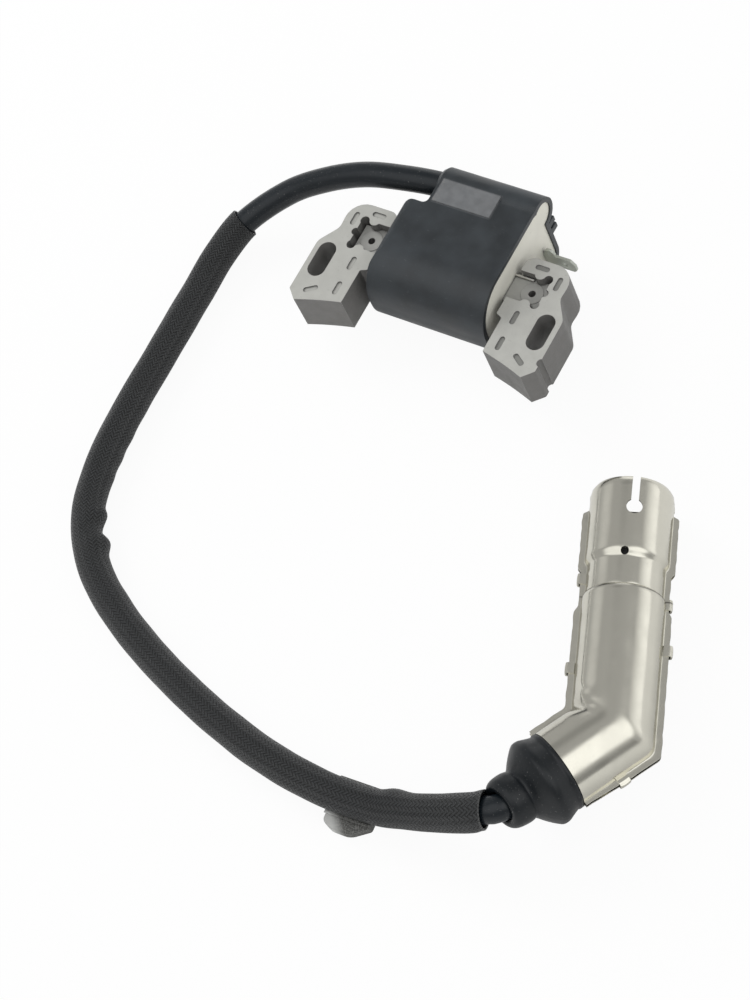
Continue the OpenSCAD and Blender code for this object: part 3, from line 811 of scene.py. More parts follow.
def prism(name: str, outline: Sequence[Pair], half_height: float, place: Matrix) -> Piece:
    """Straight-sided block for cutting.

    Args:
        name: Name of the block.
        outline: Its outline, from above.
        half_height: Its reach up and down.
        place: Matrix to the solids' frame.

    Returns:
        The block.
    """
    count = len(outline)
    points = [place @ Vector((x, y, z)) for z in (-half_height, half_height) for x, y in outline]
    ends = [tuple(reversed(range(count))), tuple(range(count, 2 * count))]
    sides = [(j, (j + 1) % count, count + (j + 1) % count, count + j) for j in range(count)]
    return add_mesh(name, points, ends + sides)


def remove(pieces: Sequence[Piece]) -> None:
    """Deletes helper objects."""
    for piece in pieces:
        bpy.data.objects.remove(piece)


def join(name: str, pieces: Sequence[Piece], crease: float) -> Piece:
    """One piece out of several that share a finish.

    Args:
        name: Name of the whole.
        pieces: Pieces to join, which are deleted.
        crease: Angle in degrees over which edges stay crisp.

    Returns:
        The whole.
    """
    points: Points = []
    faces: list[tuple[int, ...]] = []
    for piece in pieces:
        base = len(points)
        points.extend(v.co.copy() for v in piece.data.vertices)
        faces.extend(tuple(base + i for i in polygon.vertices) for polygon in piece.data.polygons)
    whole = add_mesh(name, points, faces)
    smooth_faces(whole.data, crease)
    remove(pieces)
    return whole


def finish_piece(piece: Piece, finish: Finish, body: str, slot: str, *nodes: str) -> Piece:
    """Dresses a new piece, sets it on its body and says what it stands for.

    Args:
        piece: The new piece, in place.
        finish: Finish that it gets.
        body: Body that it rides on.
        slot: Not used.
        nodes: Solids that it replaces.

    Returns:
        The piece.
    """
    piece.data.materials.clear()
    piece.data.materials.append(finish.material())
    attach(piece, body)
    if nodes:
        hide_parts(*nodes)
    log.info("made %s on %s for %s", piece.name, body, ", ".join(nodes) or "itself")
    return piece


def smooth_route(knots: Points, step: float, parts: int = 24) -> Points:
    """Even points on one smooth curve through knots.

    Args:
        knots: Points that the curve passes.
        step: Distance between the points.
        parts: Number of parts that each span is first drawn in.

    Returns:
        Points a step apart, from the first knot to the last.
    """
    dense: Points = []
    for i in range(len(knots) - 1):
        p0, p1, p2, p3 = (knots[max(0, min(len(knots) - 1, i + k))] for k in (-1, 0, 1, 2))
        span = (p2 - p1).length
        m1 = (p2 - p0) / max(TINY, (p1 - p0).length + span) * span
        m2 = (p3 - p1) / max(TINY, (p3 - p2).length + span) * span
        for t in spread(0, 1, parts)[:-1]:
            dense.append((2 * t**3 - 3 * t**2 + 1) * p1 + (t**3 - 2 * t**2 + t) * m1
                         + (3 * t**2 - 2 * t**3) * p2 + (t**3 - t**2) * m2)
    dense.append(knots[-1].copy())
    lengths = [0.0]
    for a, b in zip(dense, dense[1:]):
        lengths.append(lengths[-1] + (b - a).length)
    even: Points = []
    at = 0
    for want in spread(0, lengths[-1], max(2, round(lengths[-1] / step))):
        while at < len(lengths) - 2 and lengths[at + 1] < want:
            at += 1
        share = (want - lengths[at]) / max(TINY, lengths[at + 1] - lengths[at])
        even.append(dense[at].lerp(dense[at + 1], min(1.0, max(0.0, share))))
    return even


def run_length(path: Points) -> float:
    """Length of a path."""
    return sum((b - a).length for a, b in zip(path, path[1:]))


@dataclass(frozen=True)
class Panel:
    """A round patch of the surround that gloss shows, bright or dark, with a soft edge in degrees."""

    toward: Triple
    inner: float
    outer: float
    level: float

    def light(self, shader: Shader, direction: Socket, base: Socket) -> Socket:
        """Brings a level of light toward the panel's own inside its edge.

        Args:
            shader: Tree to add to.
            direction: Direction of the ray.
            base: Level of light without the panel.

        Returns:
            Level of light with it.
        """
        near = shader.along(direction, tuple(Vector(self.toward).normalized()))
        inside = shader.rise(near, math.cos(math.radians(self.outer)), math.cos(math.radians(self.inner)))
        change = shader.times(shader.math("SUBTRACT", self.level, base), inside)
        return shader.math("ADD", base, change)


@dataclass(frozen=True)
class Lamp:
    """A soft square lamp that faces the coil and stays out of gloss, with its power in watts."""

    name: str
    place: Triple
    size: float
    power: float
    aim: Triple = (0.0, -0.05, 0.0)

    def hang(self) -> None:
        """Adds the lamp to the scene."""
        data = bpy.data.lights.new(self.name, "AREA")
        data.size = self.size
        data.energy = self.power
        lamp = add_object(self.name, data)
        lamp.location = self.place
        lamp.rotation_euler = (Vector(self.aim) - Vector(self.place)).to_track_quat("-Z", "Y").to_euler()
        lamp.visible_glossy = False


@dataclass
class Studio:
    """Camera at the photograph's angle, white floor and soft light."""

    eye: Triple = (0.3379, -0.28817, 0.62715)
    right: Triple = (0.8374, 0.4733, -0.2735)
    up: Triple = (-0.3162, 0.8274, 0.4641)
    back: Triple = (0.446, -0.3022, 0.8425)
    focal_px: float = 2837.0
    height_px: float = 1000.0
    sensor: float = 36.0
    clip: Pair = (0.01, 50)
    floor_size: float = 6.0
    floor_drop: float = 0.05 * MM
    paper: Triple = (0.86, 0.86, 0.85)
    paper_rough: float = 0.9
    paper_white: float = 0.94
    shaded: Triple = (0.095, -0.115, 0.0)
    shaded_reach: Pair = (45 * MM, 95 * MM)
    gloss_white: float = 0.3
    dome: tuple[Triple, Triple] = ((0.36, 0.36, 0.37), (0.76, 0.76, 0.77))
    dome_rise: Pair = (0.0, 0.9)
    gloss: Pair = (0.5, 0.47)
    gloss_rise: Pair = (0.02, 0.5)
    panels: tuple[Panel, ...] = (
        Panel((0.62, 0.085, 0.78), 22, 31, 1.45), Panel((0.68, 0.73, 0.0), 8, 38, 1.3),
        Panel((-0.15, -0.42, 0.895), 25, 40, 1.25), Panel((0.96, -0.2, 0.15), 4, 12, 0.28),
        Panel((-0.34, 0.54, 0.77), 4, 15, 0.33), Panel((-0.9, 0.12, 0.42), 5, 18, 0.7),
        Panel((-0.42, 0.88, 0.2), 6, 19, 1.3))
    lamps: tuple[Lamp, ...] = (
        Lamp("key", (-0.85, 0.25, 0.62), 0.6, 6.4), Lamp("fill", (0.8, -0.35, 0.5), 0.7, 1.8))

    def build(self) -> None:
        """Sets up the whole studio."""
        scene = bpy.context.scene
        scene.view_settings.view_transform = "Standard"
        self.camera(scene)
        self.floor()
        self.world(scene)
        for lamp in self.lamps:
            lamp.hang()
        log.info("studio is set")

    def camera(self, scene: bpy.types.Scene) -> None:
        """Camera with the photograph's place, turn and focal length.

        Args:
            scene: Scene that it looks at.
        """
        data = bpy.data.cameras.new("camera")
        data.sensor_fit = "VERTICAL"
        data.sensor_height = self.sensor
        data.lens = self.sensor * self.focal_px / self.height_px
        data.clip_start, data.clip_end = self.clip
        camera = add_object("camera", data)
        turn = Matrix((self.right, self.up, self.back)).transposed()
        camera.matrix_world = Matrix.Translation(self.eye) @ turn.to_4x4()
        scene.camera = camera

    def floor(self) -> None:
        """Pale floor that reads as white, keeps a faint shadow and shows in gloss, with a painted shadow
        round the cap in gloss.
        """
        half = self.floor_size / 2
        corners = [(-half, -half, 0), (half, -half, 0), (half, half, 0), (-half, half, 0)]
        plane = add_mesh("floor", corners, [(0, 1, 2, 3)])
        plane.location.z = -self.floor_drop
        paper = bpy.data.materials.new("white_paper")
        paper.use_nodes = True
        shader = Shader(paper.node_tree)
        shader.surface("Base Color", self.paper)
        shader.surface("Roughness", self.paper_rough)
        path = shader.node("LightPath", {}).outputs
        seen = shader.math("MAXIMUM", path["Is Camera Ray"], path["Is Transmission Ray"])
        # Painted shadow in gloss: less white glow within reach of a point by the cap.
        away = shader.node("VectorMath", {0: shader.place(), 1: self.shaded}, operation="DISTANCE")
        pool = shader.rise(away.outputs["Value"], *self.shaded_reach, 0.0, self.gloss_white)
        pool = shader.times(path["Is Glossy Ray"], pool)
        white = shader.math("MAXIMUM", shader.times(seen, self.paper_white), pool)
        glow = shader.node("Emission", {"Strength": 1.0})
        lit = paper.node_tree.nodes[SURFACE_NODE].outputs[0]
        blend = shader.node("MixShader", {0: white, 1: lit, 2: glow.outputs[0]})
        shader.put(paper.node_tree.nodes["Material Output"].inputs["Surface"], blend.outputs[0])
        plane.data.materials.append(paper)

    def world(self, scene: bpy.types.Scene) -> None:
        """White surround for the camera, soft dome for light, and a grey ceiling with panels in gloss.

        Args:
            scene: Scene that it surrounds.
        """
        world = bpy.data.worlds.new("surround")
        world.use_nodes = True
        scene.world = world
        shader = Shader(world.node_tree)
        direction = shader.place(Coordinates.DIRECTION)
        height = shader.split(direction)[2]
        dome = shader.mix(shader.rise(height, *self.dome_rise), *self.dome)
        gloss = shader.rise(height, *self.gloss_rise, *self.gloss)
        for panel in self.panels:
            gloss = panel.light(shader, direction, gloss)
        path = shader.node("LightPath", {}).outputs
        light = shader.mix(path["Is Glossy Ray"], dome, gloss)
        light = shader.mix(path["Is Camera Ray"], light, (1.0, 1.0, 1.0))
        shader.put(world.node_tree.nodes["Background"].inputs["Color"], light)


@dataclass
class CoilBlock:
    """Core, housing, resin and the parts inside them, which keep their solids."""

    finishes: dict[str, Finish] = field(default_factory=lambda: {
        "left_leg": STEEL, "right_leg": STEEL, "core_bar": BAR_STEEL, "housing": PLASTIC, "potting": RESIN,
        "primary_bobbin": BOBBIN, "primary_winding": COPPER, "secondary_bobbin": BOBBIN,
        "secondary_winding": COPPER, "trigger_board": BOARD, "switch_transistor": CHIP, "trigger_chip": CHIP,
        "board_resistors": RESISTOR, "primary_leads": BARE_COPPER, "kill_terminal": TIN,
        "ground_wire": BRIGHT_WIRE, "hv_pin": BRASS, "hv_wire": BARE_COPPER, "lead_core": BARE_COPPER})

    def dress(self) -> None:
        """Gives every solid of the coil its finish."""
        for node, finish in self.finishes.items():
            dress_node(node, finish)


@dataclass
class CapFrame:
    """Where the plug cap lies: barrel along its own +X, arm turned away from it, seam in its XY plane."""

    elbow: Triple = (99.1 * MM, -101.4 * MM, 10.2 * MM)
    heading: float = math.radians(112.5)
    roll: float = math.radians(11.5)
    bend: float = math.radians(131)
    lean: Triple = (-0.2 * MM, 0.5 * MM, 0.28 * MM)
    neck_axis: Triple = (-0.791, 0.453, 0.407)
    neck_turn: float = math.radians(12)
    neck_from: float = 21 * MM
    neck_pivot: float = 29 * MM
    neck_to: float = 33 * MM

    def place(self) -> Matrix:
        """Matrix from the cap's own frame to the solids' frame."""
        return (Matrix.Translation(self.elbow) @ Matrix.Rotation(self.heading, 4, "Z")
                @ Matrix.Rotation(self.roll, 4, "X"))

    def arm(self) -> Matrix:
        """Matrix from a frame with the arm along +X to the solids' frame."""
        return self.place() @ Matrix.Rotation(self.bend, 4, "Z")

    def on_arm(self, distance: float) -> Vector:
        """Point on the arm's axis."""
        return self.arm() @ Vector((distance, 0, 0))

    def bent(self, point: Vector, along: float) -> Vector:
        """Point of the soft neck on the arm, pulled over and bent up by the lead.

        Args:
            point: Point of the straight neck, in the solids' frame.
            along: Its distance along the arm.

        Returns:
            Point of the bent neck.
        """
        share = smooth_step((along - self.neck_from) / (self.neck_to - self.neck_from))
        pivot = self.on_arm(self.neck_pivot)
        turn = Matrix.Rotation(self.neck_turn * share, 3, Vector(self.neck_axis))
        return pivot + turn @ (point - pivot) + Vector(self.lean) * share

    def mirror(self, point: Vector) -> Vector:
        """Point across the mitre of the elbow.

        Args:
            point: Point in the cap's own frame.

        Returns:
            The mirrored point.
        """
        half = Vector((math.cos(self.bend / 2), math.sin(self.bend / 2), 0))
        flat = Vector((point.x, point.y, 0))
        over = 2 * flat.dot(half) * half - flat
        return Vector((over.x, over.y, point.z))


@dataclass
class PlugLead:
    """Ignition lead from the tower to the cap, with its braided sleeve and clip.

    The route's points and the sleeve's folds (place along it, height, width) are in millimetres.
    """

    cap: CapFrame
    tower_y: float = 19.831
    tower_z: float = 21.2
    tower_mouth: float = -12.0
    lead_end: float = 6.0
    middle: tuple[Triple, ...] = (
        (-24.5, 18.4, 21), (-36, 16.5, 19.8), (-47.5, 13, 16.8), (-58.5, 7.8, 12.6), (-69, -3, 7.7),
        (-72, -13.5, 5.4), (-72.2, -27, 4.7), (-71.8, -48, 4.7), (-71.3, -69, 4.7), (-69.5, -84, 4.7),
        (-65.5, -97, 4.7), (-58.5, -107, 4.7), (-49, -115, 4.7), (-37.5, -121.5, 4.7), (-25, -127, 4.7),
        (-11, -132, 4.7), (4, -136.3, 4.8), (20, -139.6, 5.2), (37.5, -141, 5.7), (52, -140, 5.7),
        (61, -138.4, 8.2), (67.5, -137.1, 10.4), (74, -135.6, 12.4), (79, -134.4, 13.8),
        (81.1, -133.5, 14.4))
    pulled: tuple[tuple[int, float], ...] = ((1, 1.9), (2, 1.4), (3, 0.7), (4, 0.2))
    bend_in: float = 34 * MM
    gland: float = 27 * MM
    stop: float = 7.3 * MM
    lead_d: float = 7 * MM
    lead_step: float = 2 * MM
    lead_facets: int = 8
    sleeve_from: int = 4
    sleeve_to: int = -4
    sleeve_past: int = 2
    sleeve_d: float = 9 * MM
    sleeve_wall: float = 0.55 * MM
    sleeve_step: float = 0.6 * MM
    around: int = 56
    lined: int = 18
    open_r: float = 4.95 * MM
    open_from: float = 26 * MM
    open_run: float = 24 * MM
    mouth_aim: Triple = (0.928, 0.362, 0.04)
    mouth_run: float = 9 * MM
    carriers: int = 28
    strand_run: float = 1.15 * MM
    lump_size: float = 9 * MM
    lump_turn: float = 1.3
    lump_height: float = 0.14 * MM
    lower_run: float = 190 * MM
    upper_inside: Triple = (1.0, 0.25, 0.2)
    lower_inside: Triple = (-0.3, 0.85, 0.45)
    folds: tuple[Triple, ...] = (
        (62, 0.25, 3.0), (71, 0.35, 2.6), (78, 0.4, 2.2), (84.5, 0.3, 2.0), (97.2, 1.15, 2.3),
        (102, -0.75, 2.0), (107.2, 1.45, 2.5), (126, 0.25, 4.0), (140, 0.2, 4.0), (231, 0.9, 4.0))
    path: Points = field(init=False)
    sleeve_path: Points = field(init=False)
    jacket: Piece = field(init=False)
    sleeve: Piece = field(init=False)
    clip: Piece = field(init=False)

    def knots(self) -> Points:
        """Points of the route.

        Returns:
            Points from inside the tower to inside the cap.
        """
        tower = [Vector((x, self.tower_y, self.tower_z)) * MM for x in (self.lead_end, self.tower_mouth)]
        free = [Vector(p) * MM for p in self.middle]
        for back, share in self.pulled:
            free[-back] += share * Vector(self.cap.lean)
        neck = [self.cap.bent(self.cap.on_arm(u), u) for u in (self.bend_in, self.gland)]
        return tower + free + neck + [self.cap.on_arm(self.stop)]

    def build(self) -> None:
        """Makes the lead's jacket and its sleeve and dresses the clip."""
        self.path = smooth_route(self.knots(), self.lead_step)
        self.jacket = self.make_jacket()
        self.sleeve_path = self.sleeve_line()
        self.sleeve = self.make_sleeve()
        self.clip = dress_node("lead_clip", ZINC)

    def sleeve_line(self) -> Points:
        """Middle line of the sleeve.

        Returns:
            Points of the lead's own route between the sleeve's ends.
        """
        fine = smooth_route(self.knots(), self.sleeve_step)
        ends = (Vector(self.middle[self.sleeve_from]) * MM, self.knots()[self.sleeve_to])
        first, last = (min(range(len(fine)), key=lambda i: (fine[i] - end).length) for end in ends)
        return fine[first:last + self.sleeve_past]

    def make_jacket(self) -> Piece:
        """Round jacket along the whole route.

        Returns:
            The piece.
        """
        curve = bpy.data.curves.new("lead_jacket_skin", "CURVE")
        curve.dimensions = "3D"
        curve.bevel_depth = self.lead_d / 2
        curve.bevel_resolution = self.lead_facets
        curve.use_fill_caps = True
        spline = curve.splines.new("POLY")
        spline.points.add(len(self.path) - 1)
        for point, place in zip(spline.points, self.path):
            point.co = (*place, 1)
        spline.use_smooth = True
        piece = add_object("lead_jacket_skin", curve)
        return finish_piece(piece, JACKET, COIL_BODY, "lead_rubber", "lead_jacket")

    def sleeve_radius(self, run: float, turn: float, inner: float, total: float) -> float:
        """Outer radius of the sleeve with its folds and its loose end.

        Args:
            run: Distance from the sleeve's start.
            turn: Angle round the sleeve.
            inner: Angle of the inside of the bend.
            total: Length of the sleeve.

        Returns:
            Radius at that place.
        """
        radius = self.sleeve_d / 2
        radius += (self.open_r - radius) * smooth_step((run - total + self.open_from) / self.open_run)
        facing = max(0.0, math.cos(turn - inner)) ** 2
        radius += sum(size * hump(run / MM, at, width) for at, size, width in self.folds) * facing * MM
        round_it = Vector((0, math.cos(turn), math.sin(turn))) * self.lump_turn
        return radius + self.lump_height * noise.noise(round_it + Vector((run / self.lump_size, 0, 0)))

    def sleeve_ring(self, point: Vector, ahead: Vector, side: Vector, run: float, total: float) -> Points:
        """Points round the sleeve at one place.

        Args:
            point: Point of its middle line.
            ahead: Direction of the line.
            side: Direction across it that the ring starts from.
            run: Distance from the sleeve's start.
            total: Length of the sleeve.

        Returns:
            The ring, which turns to face the mouth's way near the end.
        """
        inside = Vector(self.upper_inside if run < self.lower_run else self.lower_inside)
        share = smooth_step(1 + (run - total) / self.mouth_run)
        ahead = ahead.lerp(Vector(self.mouth_aim), share).normalized()
        side = (side - ahead * side.dot(ahead)).normalized()
        over = ahead.cross(side)
        inner = math.atan2(inside.dot(over), inside.dot(side))
        ring = []
        for turn in spread(0, 2 * math.pi, self.around)[:-1]:
            radius = self.sleeve_radius(run, turn, inner, total)
            ring.append(point + radius * (math.cos(turn) * side + math.sin(turn) * over))
        return ring

    def lining(self, rings: Sequence[Points], centres: Points) -> list[Points]:
        """Inner face of some rings, from the last to the first.

        Args:
            rings: Rings of the outer face.
            centres: Their middles.

        Returns:
            Rings a wall's thickness inside them.
        """
        inner = [[centre + (p - centre) * (1 - self.sleeve_wall / (p - centre).length) for p in ring]
                 for centre, ring in zip(centres, rings)]
        return inner[::-1]

    def make_sleeve(self) -> Piece:
        """Woven sleeve with folds on the inside of the bend, open and lined at both ends.

        Returns:
            The piece.
        """
        path = self.sleeve_path
        total = run_length(path)
        rows: list[Points] = []
        runs: list[float] = []
        side = Vector((0, 0, 1))
        for i, point in enumerate(path):
            runs.append(runs[-1] + (point - path[i - 1]).length if i else 0.0)
            ahead = (path[min(i + 1, len(path) - 1)] - path[max(i - 1, 0)]).normalized()
            side = (side - ahead * side.dot(ahead)).normalized()
            rows.append(self.sleeve_ring(point, ahead, side, runs[-1], total))
        n = self.lined
        rows = self.lining(rows[:n], path[:n]) + rows + self.lining(rows[-n:], path[-n:])
        runs = runs[:n][::-1] + runs + runs[-n:][::-1]

        def surface(i: int, j: int) -> Pair:
            """Strand coordinates of a ring and a point on it."""
            return j * self.carriers / self.around, (runs[i] - total) / self.strand_run

        piece = grid("lead_sleeve_braid", rows, True, surface)
        return finish_piece(piece, BRAID, COIL_BODY, "sleeve_braid", "lead_sleeve")

    def declare(self) -> None:
        """Logs how long the lead and its sleeve are.
        """
        run_length(self.path)
        tuple(self.sleeve_path[0])
        run_length(self.sleeve_path)
        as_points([tuple(p) for p in self.sleeve_path[::3]] + [tuple(self.sleeve_path[-1])])
        log.info("lead is %.0f mm long and its sleeve %.0f mm", run_length(self.path) / MM,
                 run_length(self.sleeve_path) / MM)


@dataclass
class PlugCap:
    """Shielded elbow cap: two pressed halves, crimp tabs, rubber grommet and the parts inside.

    The tables are in millimetres: the barrel's radius and the wings' reach along the barrel, the rounding of
    the elbow across it (-1 to 1), the dents (height, place along and its width, angle round and its width),
    the grommet's profile (radius, place past the arm's end), and the crimp tabs' places (on the arm or the
    barrel, along it, side, wing's reach) and folded section. The waves of the wings are a length, a height
    and a layer of the noise.
    """

    cap: CapFrame
    length: float = 65 * MM
    arm_length: float = 16 * MM
    tube_r: float = 10 * MM
    sheet: float = 0.5 * MM
    sheet_seen: float = 0.46 * MM
    wobble_size: float = 7 * MM
    wobble: float = 0.035 * MM
    wing: float = 12 * MM
    wing_top: float = 0.505 * MM
    wing_tuck: float = 0.06
    edge_wave: Triple = (2.6 * MM, 0.22 * MM, 0)
    face_wave: Triple = (4 * MM, 0.05 * MM, 3)
    key_x: float = 56.6 * MM
    key_r: float = 2 * MM
    key_half: float = 0.95 * MM
    key_y: float = -0.95 * MM
    key_past: float = 5 * MM
    key_parts: int = 28
    vent_x: float = 44.45 * MM
    vent_y: float = 0.5 * MM
    vent_r: float = 1 * MM
    vent_parts: int = 20
    cut_reach: float = 20 * MM
    root: float = 0.75 * MM
    root_least: float = 0.02 * MM
    root_out: float = 0.9
    root_up: float = 1.25
    elbow_reach: float = 14 * MM
    corner_reach: float = 3 * MM
    arm_rows: int = 8
    corner_rows: int = 8
    elbow_rows: int = 10
    barrel_rows: int = 110
    arc_parts: int = 44
    barrel: Table = (
        (0, 10), (34.6, 10.03), (35.2, 9.85), (35.7, 9.3), (43.5, 9.3), (45.4, 10.12), (62.8, 10.1),
        (64.1, 9.9), (65, 9.3))
    seam: Table = (
        (0, 12), (31, 12), (33.2, 11.1), (42, 11.1), (43.6, 12), (58.2, 12), (59.6, 10.14), (64.1, 9.92),
        (65, 9.32))
    rounding: Table = ((-1, 0.9), (-0.85, 1.6), (0, 2.4), (0.85, 1.0))
    dents: tuple[tuple[float, ...], ...] = ((0.5, 4.6, 2.2, 47, 16), (-0.75, 0.6, 1.3, 42, 24))
    arm_dent: float = 0.35
    grommet_profile: Table = (
        (9.4, -1.6), (9.4, 0.02), (10.35, 0.05), (10.45, 0.9), (10.25, 1.25), (10.35, 1.7), (10.95, 3.4),
        (11.35, 4.5), (11.42, 5.3), (11.3, 6.1), (10.6, 7.05), (9.6, 8.1), (8.3, 9.3), (7.1, 10.3),
        (6.55, 11.05), (6.72, 11.8), (6.85, 12.8), (6.8, 14.4), (6.6, 15.8), (6.15, 16.8), (5.4, 17.4),
        (4.4, 17.35), (3.8, 16.9), (3.6, 16), (3.58, 12.4), (3.6, 11), (3.7, 4))
    grommet_step: float = 0.35 * MM
    grommet_around: int = 72
    tabs: tuple[tuple[bool, float, int, float], ...] = (
        (False, 40.2, 1, 11.1), (False, 16.0, 1, 12.0), (False, 34.7, -1, 11.1), (False, 22.4, -1, 12.0),
        (True, 5.2, 1, 11.7))
    tab_fold: Table = (
        (-1.0, -0.62), (0.1, -0.66), (0.45, -0.45), (0.56, 0.05), (0.5, 0.6), (0.25, 0.92), (-0.2, 0.98),
        (-1.35, 0.8))
    tab_half: float = 1.4
    tab_rows: int = 6
    tab_pinch: float = 0.12
    tab_sheet: float = 0.4 * MM
    tab_crease: float = 60
    joined_crease: float = 50
    inner: dict[str, Finish] = field(default_factory=lambda: {
        "cap_body": PHENOLIC, "lead_screw": BRASS, "suppressor": CERAMIC, "contact_spring": SPRING,
        "plug_terminal": BRASS})

    def build(self) -> list[Piece]:
        """Makes every piece of the cap.

        Returns:
            The pieces that show from outside.
        """
        pieces = [*map(self.make_half, Half), self.make_tabs(), self.make_grommet()]
        for node, finish in self.inner.items():
            dress_node(node, finish)
        return pieces

    def section(self, radius: float, wing: float) -> list[Pair]:
        """Outer line of the upper half across the barrel, from one wing's edge to the other.

        Args:
            radius: Radius of the tube.
            wing: Distance from the axis to the wing's edge.

        Returns:
            Points (y, z).
        """
        root = max(self.root_least, min(self.root, wing - radius))
        foot = radius + root * self.root_out
        side = [(wing, self.sheet), ((wing + foot) / 2, self.sheet)]
        side += arc(foot, self.sheet + root, root, [math.radians(d) for d in (270, 245, 220, 195)])
        start = math.asin(min(1.0, (self.sheet + root * self.root_up) / radius))
        crown = arc(0, 0, radius, spread(start, math.pi - start, self.arc_parts))
        return side + crown + [(-y, z) for y, z in reversed(side)]

    def dent(self, run: float, y: float, z: float) -> float:
        """Outward shift of the sheet near the elbow: a pinch in its inner corner and a swelling above it.

        Args:
            run: Distance from the mitre along the barrel.
            y: Place across the barrel.
            z: Height over the seam.

        Returns:
            Shift in metres.
        """
        turn = math.degrees(math.atan2(z, y))
        return sum(height * hump(run / MM, at, width) * hump(turn, angle, fan)
                   for height, at, width, angle, fan in self.dents) * MM

    def column(self, index: int, along: float, arm: bool) -> Vector:
        """Point of one column of the sheet at a distance from the mitre.

        Args:
            index: Column, across the section.
            along: Distance from the mitre, which past the elbow's reach is the place along the axis.
            arm: Whether it lies on the arm.

        Returns:
            The point in the cap's own frame.
        """
        y, z = self.section(self.tube_r, self.wing)[index]
        lead = y / math.tan(self.cap.bend / 2)
        x = along + lead * (1 - smooth_step(along / self.elbow_reach))
        if not arm:
            y, z = self.section(between(x / MM, self.barrel) * MM, between(x / MM, self.seam) * MM)[index]
        elif y < -self.tube_r:
            y *= 1 - self.wing_tuck * smooth_step(x / self.arm_length)
        push = self.dent(along, y, z) * (self.arm_dent if arm else 1.0)
        wobble = noise.noise(Vector((x, y, z)) / self.wobble_size) * self.wobble
        shift = Vector((y, z)).normalized() * (push + wobble)
        point = Vector((x, y + shift.x, z + (shift.y if z > 2 * self.sheet else 0)))
        if z <= self.wing_top:
            edge, face = (height * noise.noise(Vector((x / size, y, layer)))
                          for size, height, layer in (self.edge_wave, self.face_wave))
            point += Vector((0, edge, face))
        return self.cap.mirror(point) if arm else point

    def fillet(self, index: int) -> float:
        """Length of the rounding beside the mitre: short inside the elbow, longer outside."""
        y = self.section(self.tube_r, self.wing)[index][0]
        return between(y / self.wing, self.rounding) * MM

    def corner(self, index: int, reach: float, share: float) -> Vector:
        """Point of the rounded mitre.

        Args:
            index: Column, across the section.
            reach: Length of the rounding.
            share: Place on it, from the arm at 0 to the barrel at 1.

        Returns:
            The point in the cap's own frame.
        """
        first = self.column(index, reach, True)
        last = self.column(index, reach, False)
        tip = self.column(index, 0.0, False)
        return (1 - share) ** 2 * first + 2 * share * (1 - share) * tip + share**2 * last

    def half_rows(self) -> list[Points]:
        """Rows of the upper half's outer face.

        Returns:
            Rows from the arm's end to the barrel's, in the cap's own frame.
        """
        near = self.elbow_reach
        turns = list(enumerate(self.fillet(j) for j in range(len(self.section(self.tube_r, self.wing)))))
        rows = [[self.column(j, max(along, turn), True) for j, turn in turns]
                for along in spread(self.arm_length, self.corner_reach, self.arm_rows)[:-1]]
        rows += [[self.corner(j, turn, share) for j, turn in turns]
                 for share in spread(0, 1, self.corner_rows)]
        rows += [[self.column(j, turn + (near - turn) * share, False) for j, turn in turns]
                 for share in spread(0, 1, self.elbow_rows)[1:]]
        return rows + [[self.column(j, along, False) for j, _ in turns]
                       for along in spread(near, self.length, self.barrel_rows)[1:]]

    def make_half(self, half: Half) -> Piece:
        """One pressed half of the shield, with its keyhole and vent.

        Args:
            half: Which half.

        Returns:
            The piece.
        """
        upper = half is Half.UPPER
        place = self.cap.place()
        rows = [[place @ Vector((p.x, p.y, half.value * p.z)) for p in row] for row in self.half_rows()]
        piece = grid("shield_upper" if upper else "shield_lower", [row[::-half.value] for row in rows])
        thicken(piece, self.sheet_seen)
        cutters = [self.keyhole(place, upper), self.vent(place)]
        cut(piece, cutters)
        settle(piece)
        remove(cutters)
        node = "upper_shell" if upper else "lower_shell"
        return finish_piece(piece, NICKEL, CAP_BODY, "shield_nickel", node)

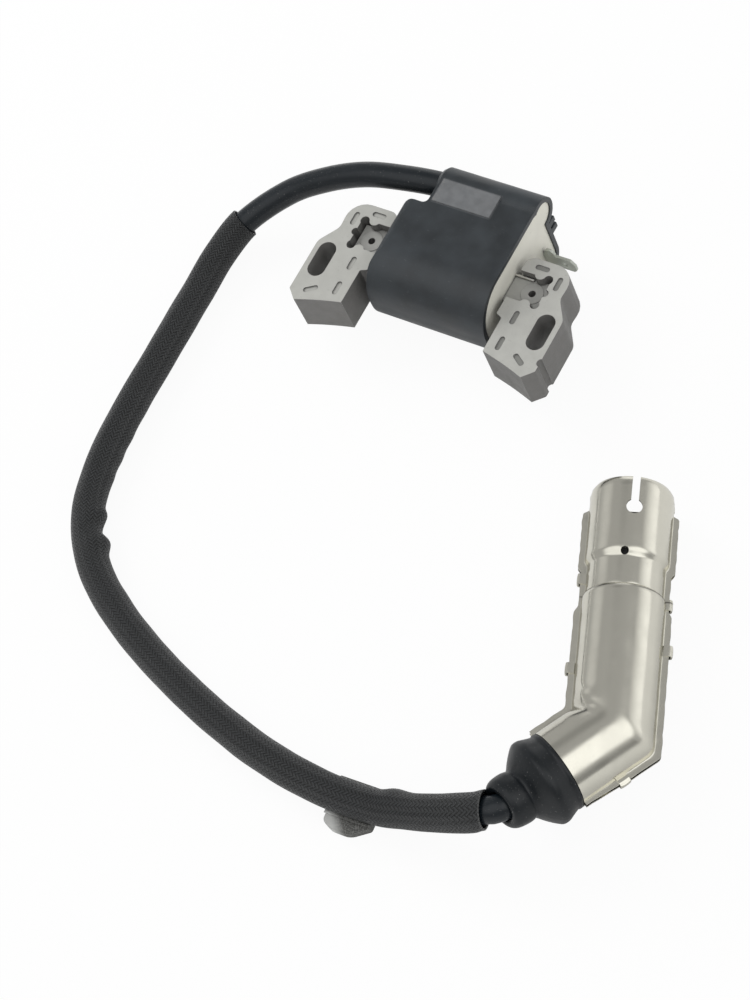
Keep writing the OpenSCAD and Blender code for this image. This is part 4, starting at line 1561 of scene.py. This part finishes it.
    def keyhole(self, place: Matrix, slotted: bool) -> Piece:
        """Block in the shape of the keyhole.

        Args:
            place: Matrix from the cap's own frame.
            slotted: Whether its round end is open to the barrel's end through a slit.

        Returns:
            The block.
        """
        start = math.asin(self.key_half / self.key_r) if slotted else 0.0
        outline = arc(self.key_x, self.key_y, self.key_r, spread(start, 2 * math.pi - start, self.key_parts))
        if slotted:
            outline += [(self.length + self.key_past, self.key_y + side * self.key_half) for side in (-1, 1)]
        else:
            outline.pop()
        return prism("keyhole_block", outline, self.cut_reach, place)

    def vent(self, place: Matrix) -> Piece:
        """Block in the shape of the small hole before the neck."""
        outline = arc(self.vent_x, self.vent_y, self.vent_r, spread(0, 2 * math.pi, self.vent_parts)[:-1])
        return prism("vent_block", outline, self.cut_reach, place)

    def make_tabs(self) -> Piece:
        """Crimp tabs of the lower half, folded over the seam.

        Returns:
            The piece.
        """
        tabs = []
        for on_arm, x, side, wing in self.tabs:
            place = self.cap.arm() if on_arm else self.cap.place()
            rows = []
            for step in spread(-self.tab_half, self.tab_half, self.tab_rows):
                pinch = self.tab_pinch * (abs(step) / self.tab_half) ** 3
                row = [(x + step, side * (wing + y - pinch * (y > 0)), z) for y, z in self.tab_fold]
                rows.append([place @ (Vector(p) * MM) for p in row[::-side]])
            tab = grid("tab", rows)
            thicken(tab, self.tab_sheet)
            settle(tab, self.tab_crease)
            tabs.append(tab)
        whole = join("shield_tabs", tabs, self.joined_crease)
        return finish_piece(whole, NICKEL, CAP_BODY, "shield_nickel")

    def make_grommet(self) -> Piece:
        """Moulded rubber grommet with a flare and a neck that the lead leaves through.

        Returns:
            The piece.
        """
        place = self.cap.arm()
        knots = [Vector((u * MM + self.arm_length, r * MM, 0)) for r, u in self.grommet_profile]
        line = smooth_route(knots, self.grommet_step)
        rows = []
        for turn in spread(0, 2 * math.pi, self.grommet_around)[:-1]:
            spun = Matrix.Rotation(turn, 4, "X")
            rows.append([self.cap.bent(place @ spun @ p, p.x) for p in line])
        rows.append([p.copy() for p in rows[0]])
        piece = grid("grommet_rubber_skin", rows)
        return finish_piece(piece, GROMMET, CAP_BODY, "grommet_rubber", "grommet")


def main() -> None:
    """Builds the studio and every piece of the coil, in order."""
    logging.basicConfig(level=logging.INFO, format="%(name)s: %(message)s")
    Studio().build()
    cap_frame = CapFrame()
    lead = PlugLead(cap_frame)
    lead.build()
    CoilBlock().dress()
    shown = PlugCap(cap_frame).build()
    lead.declare()


if __name__ == "__main__":
    main()
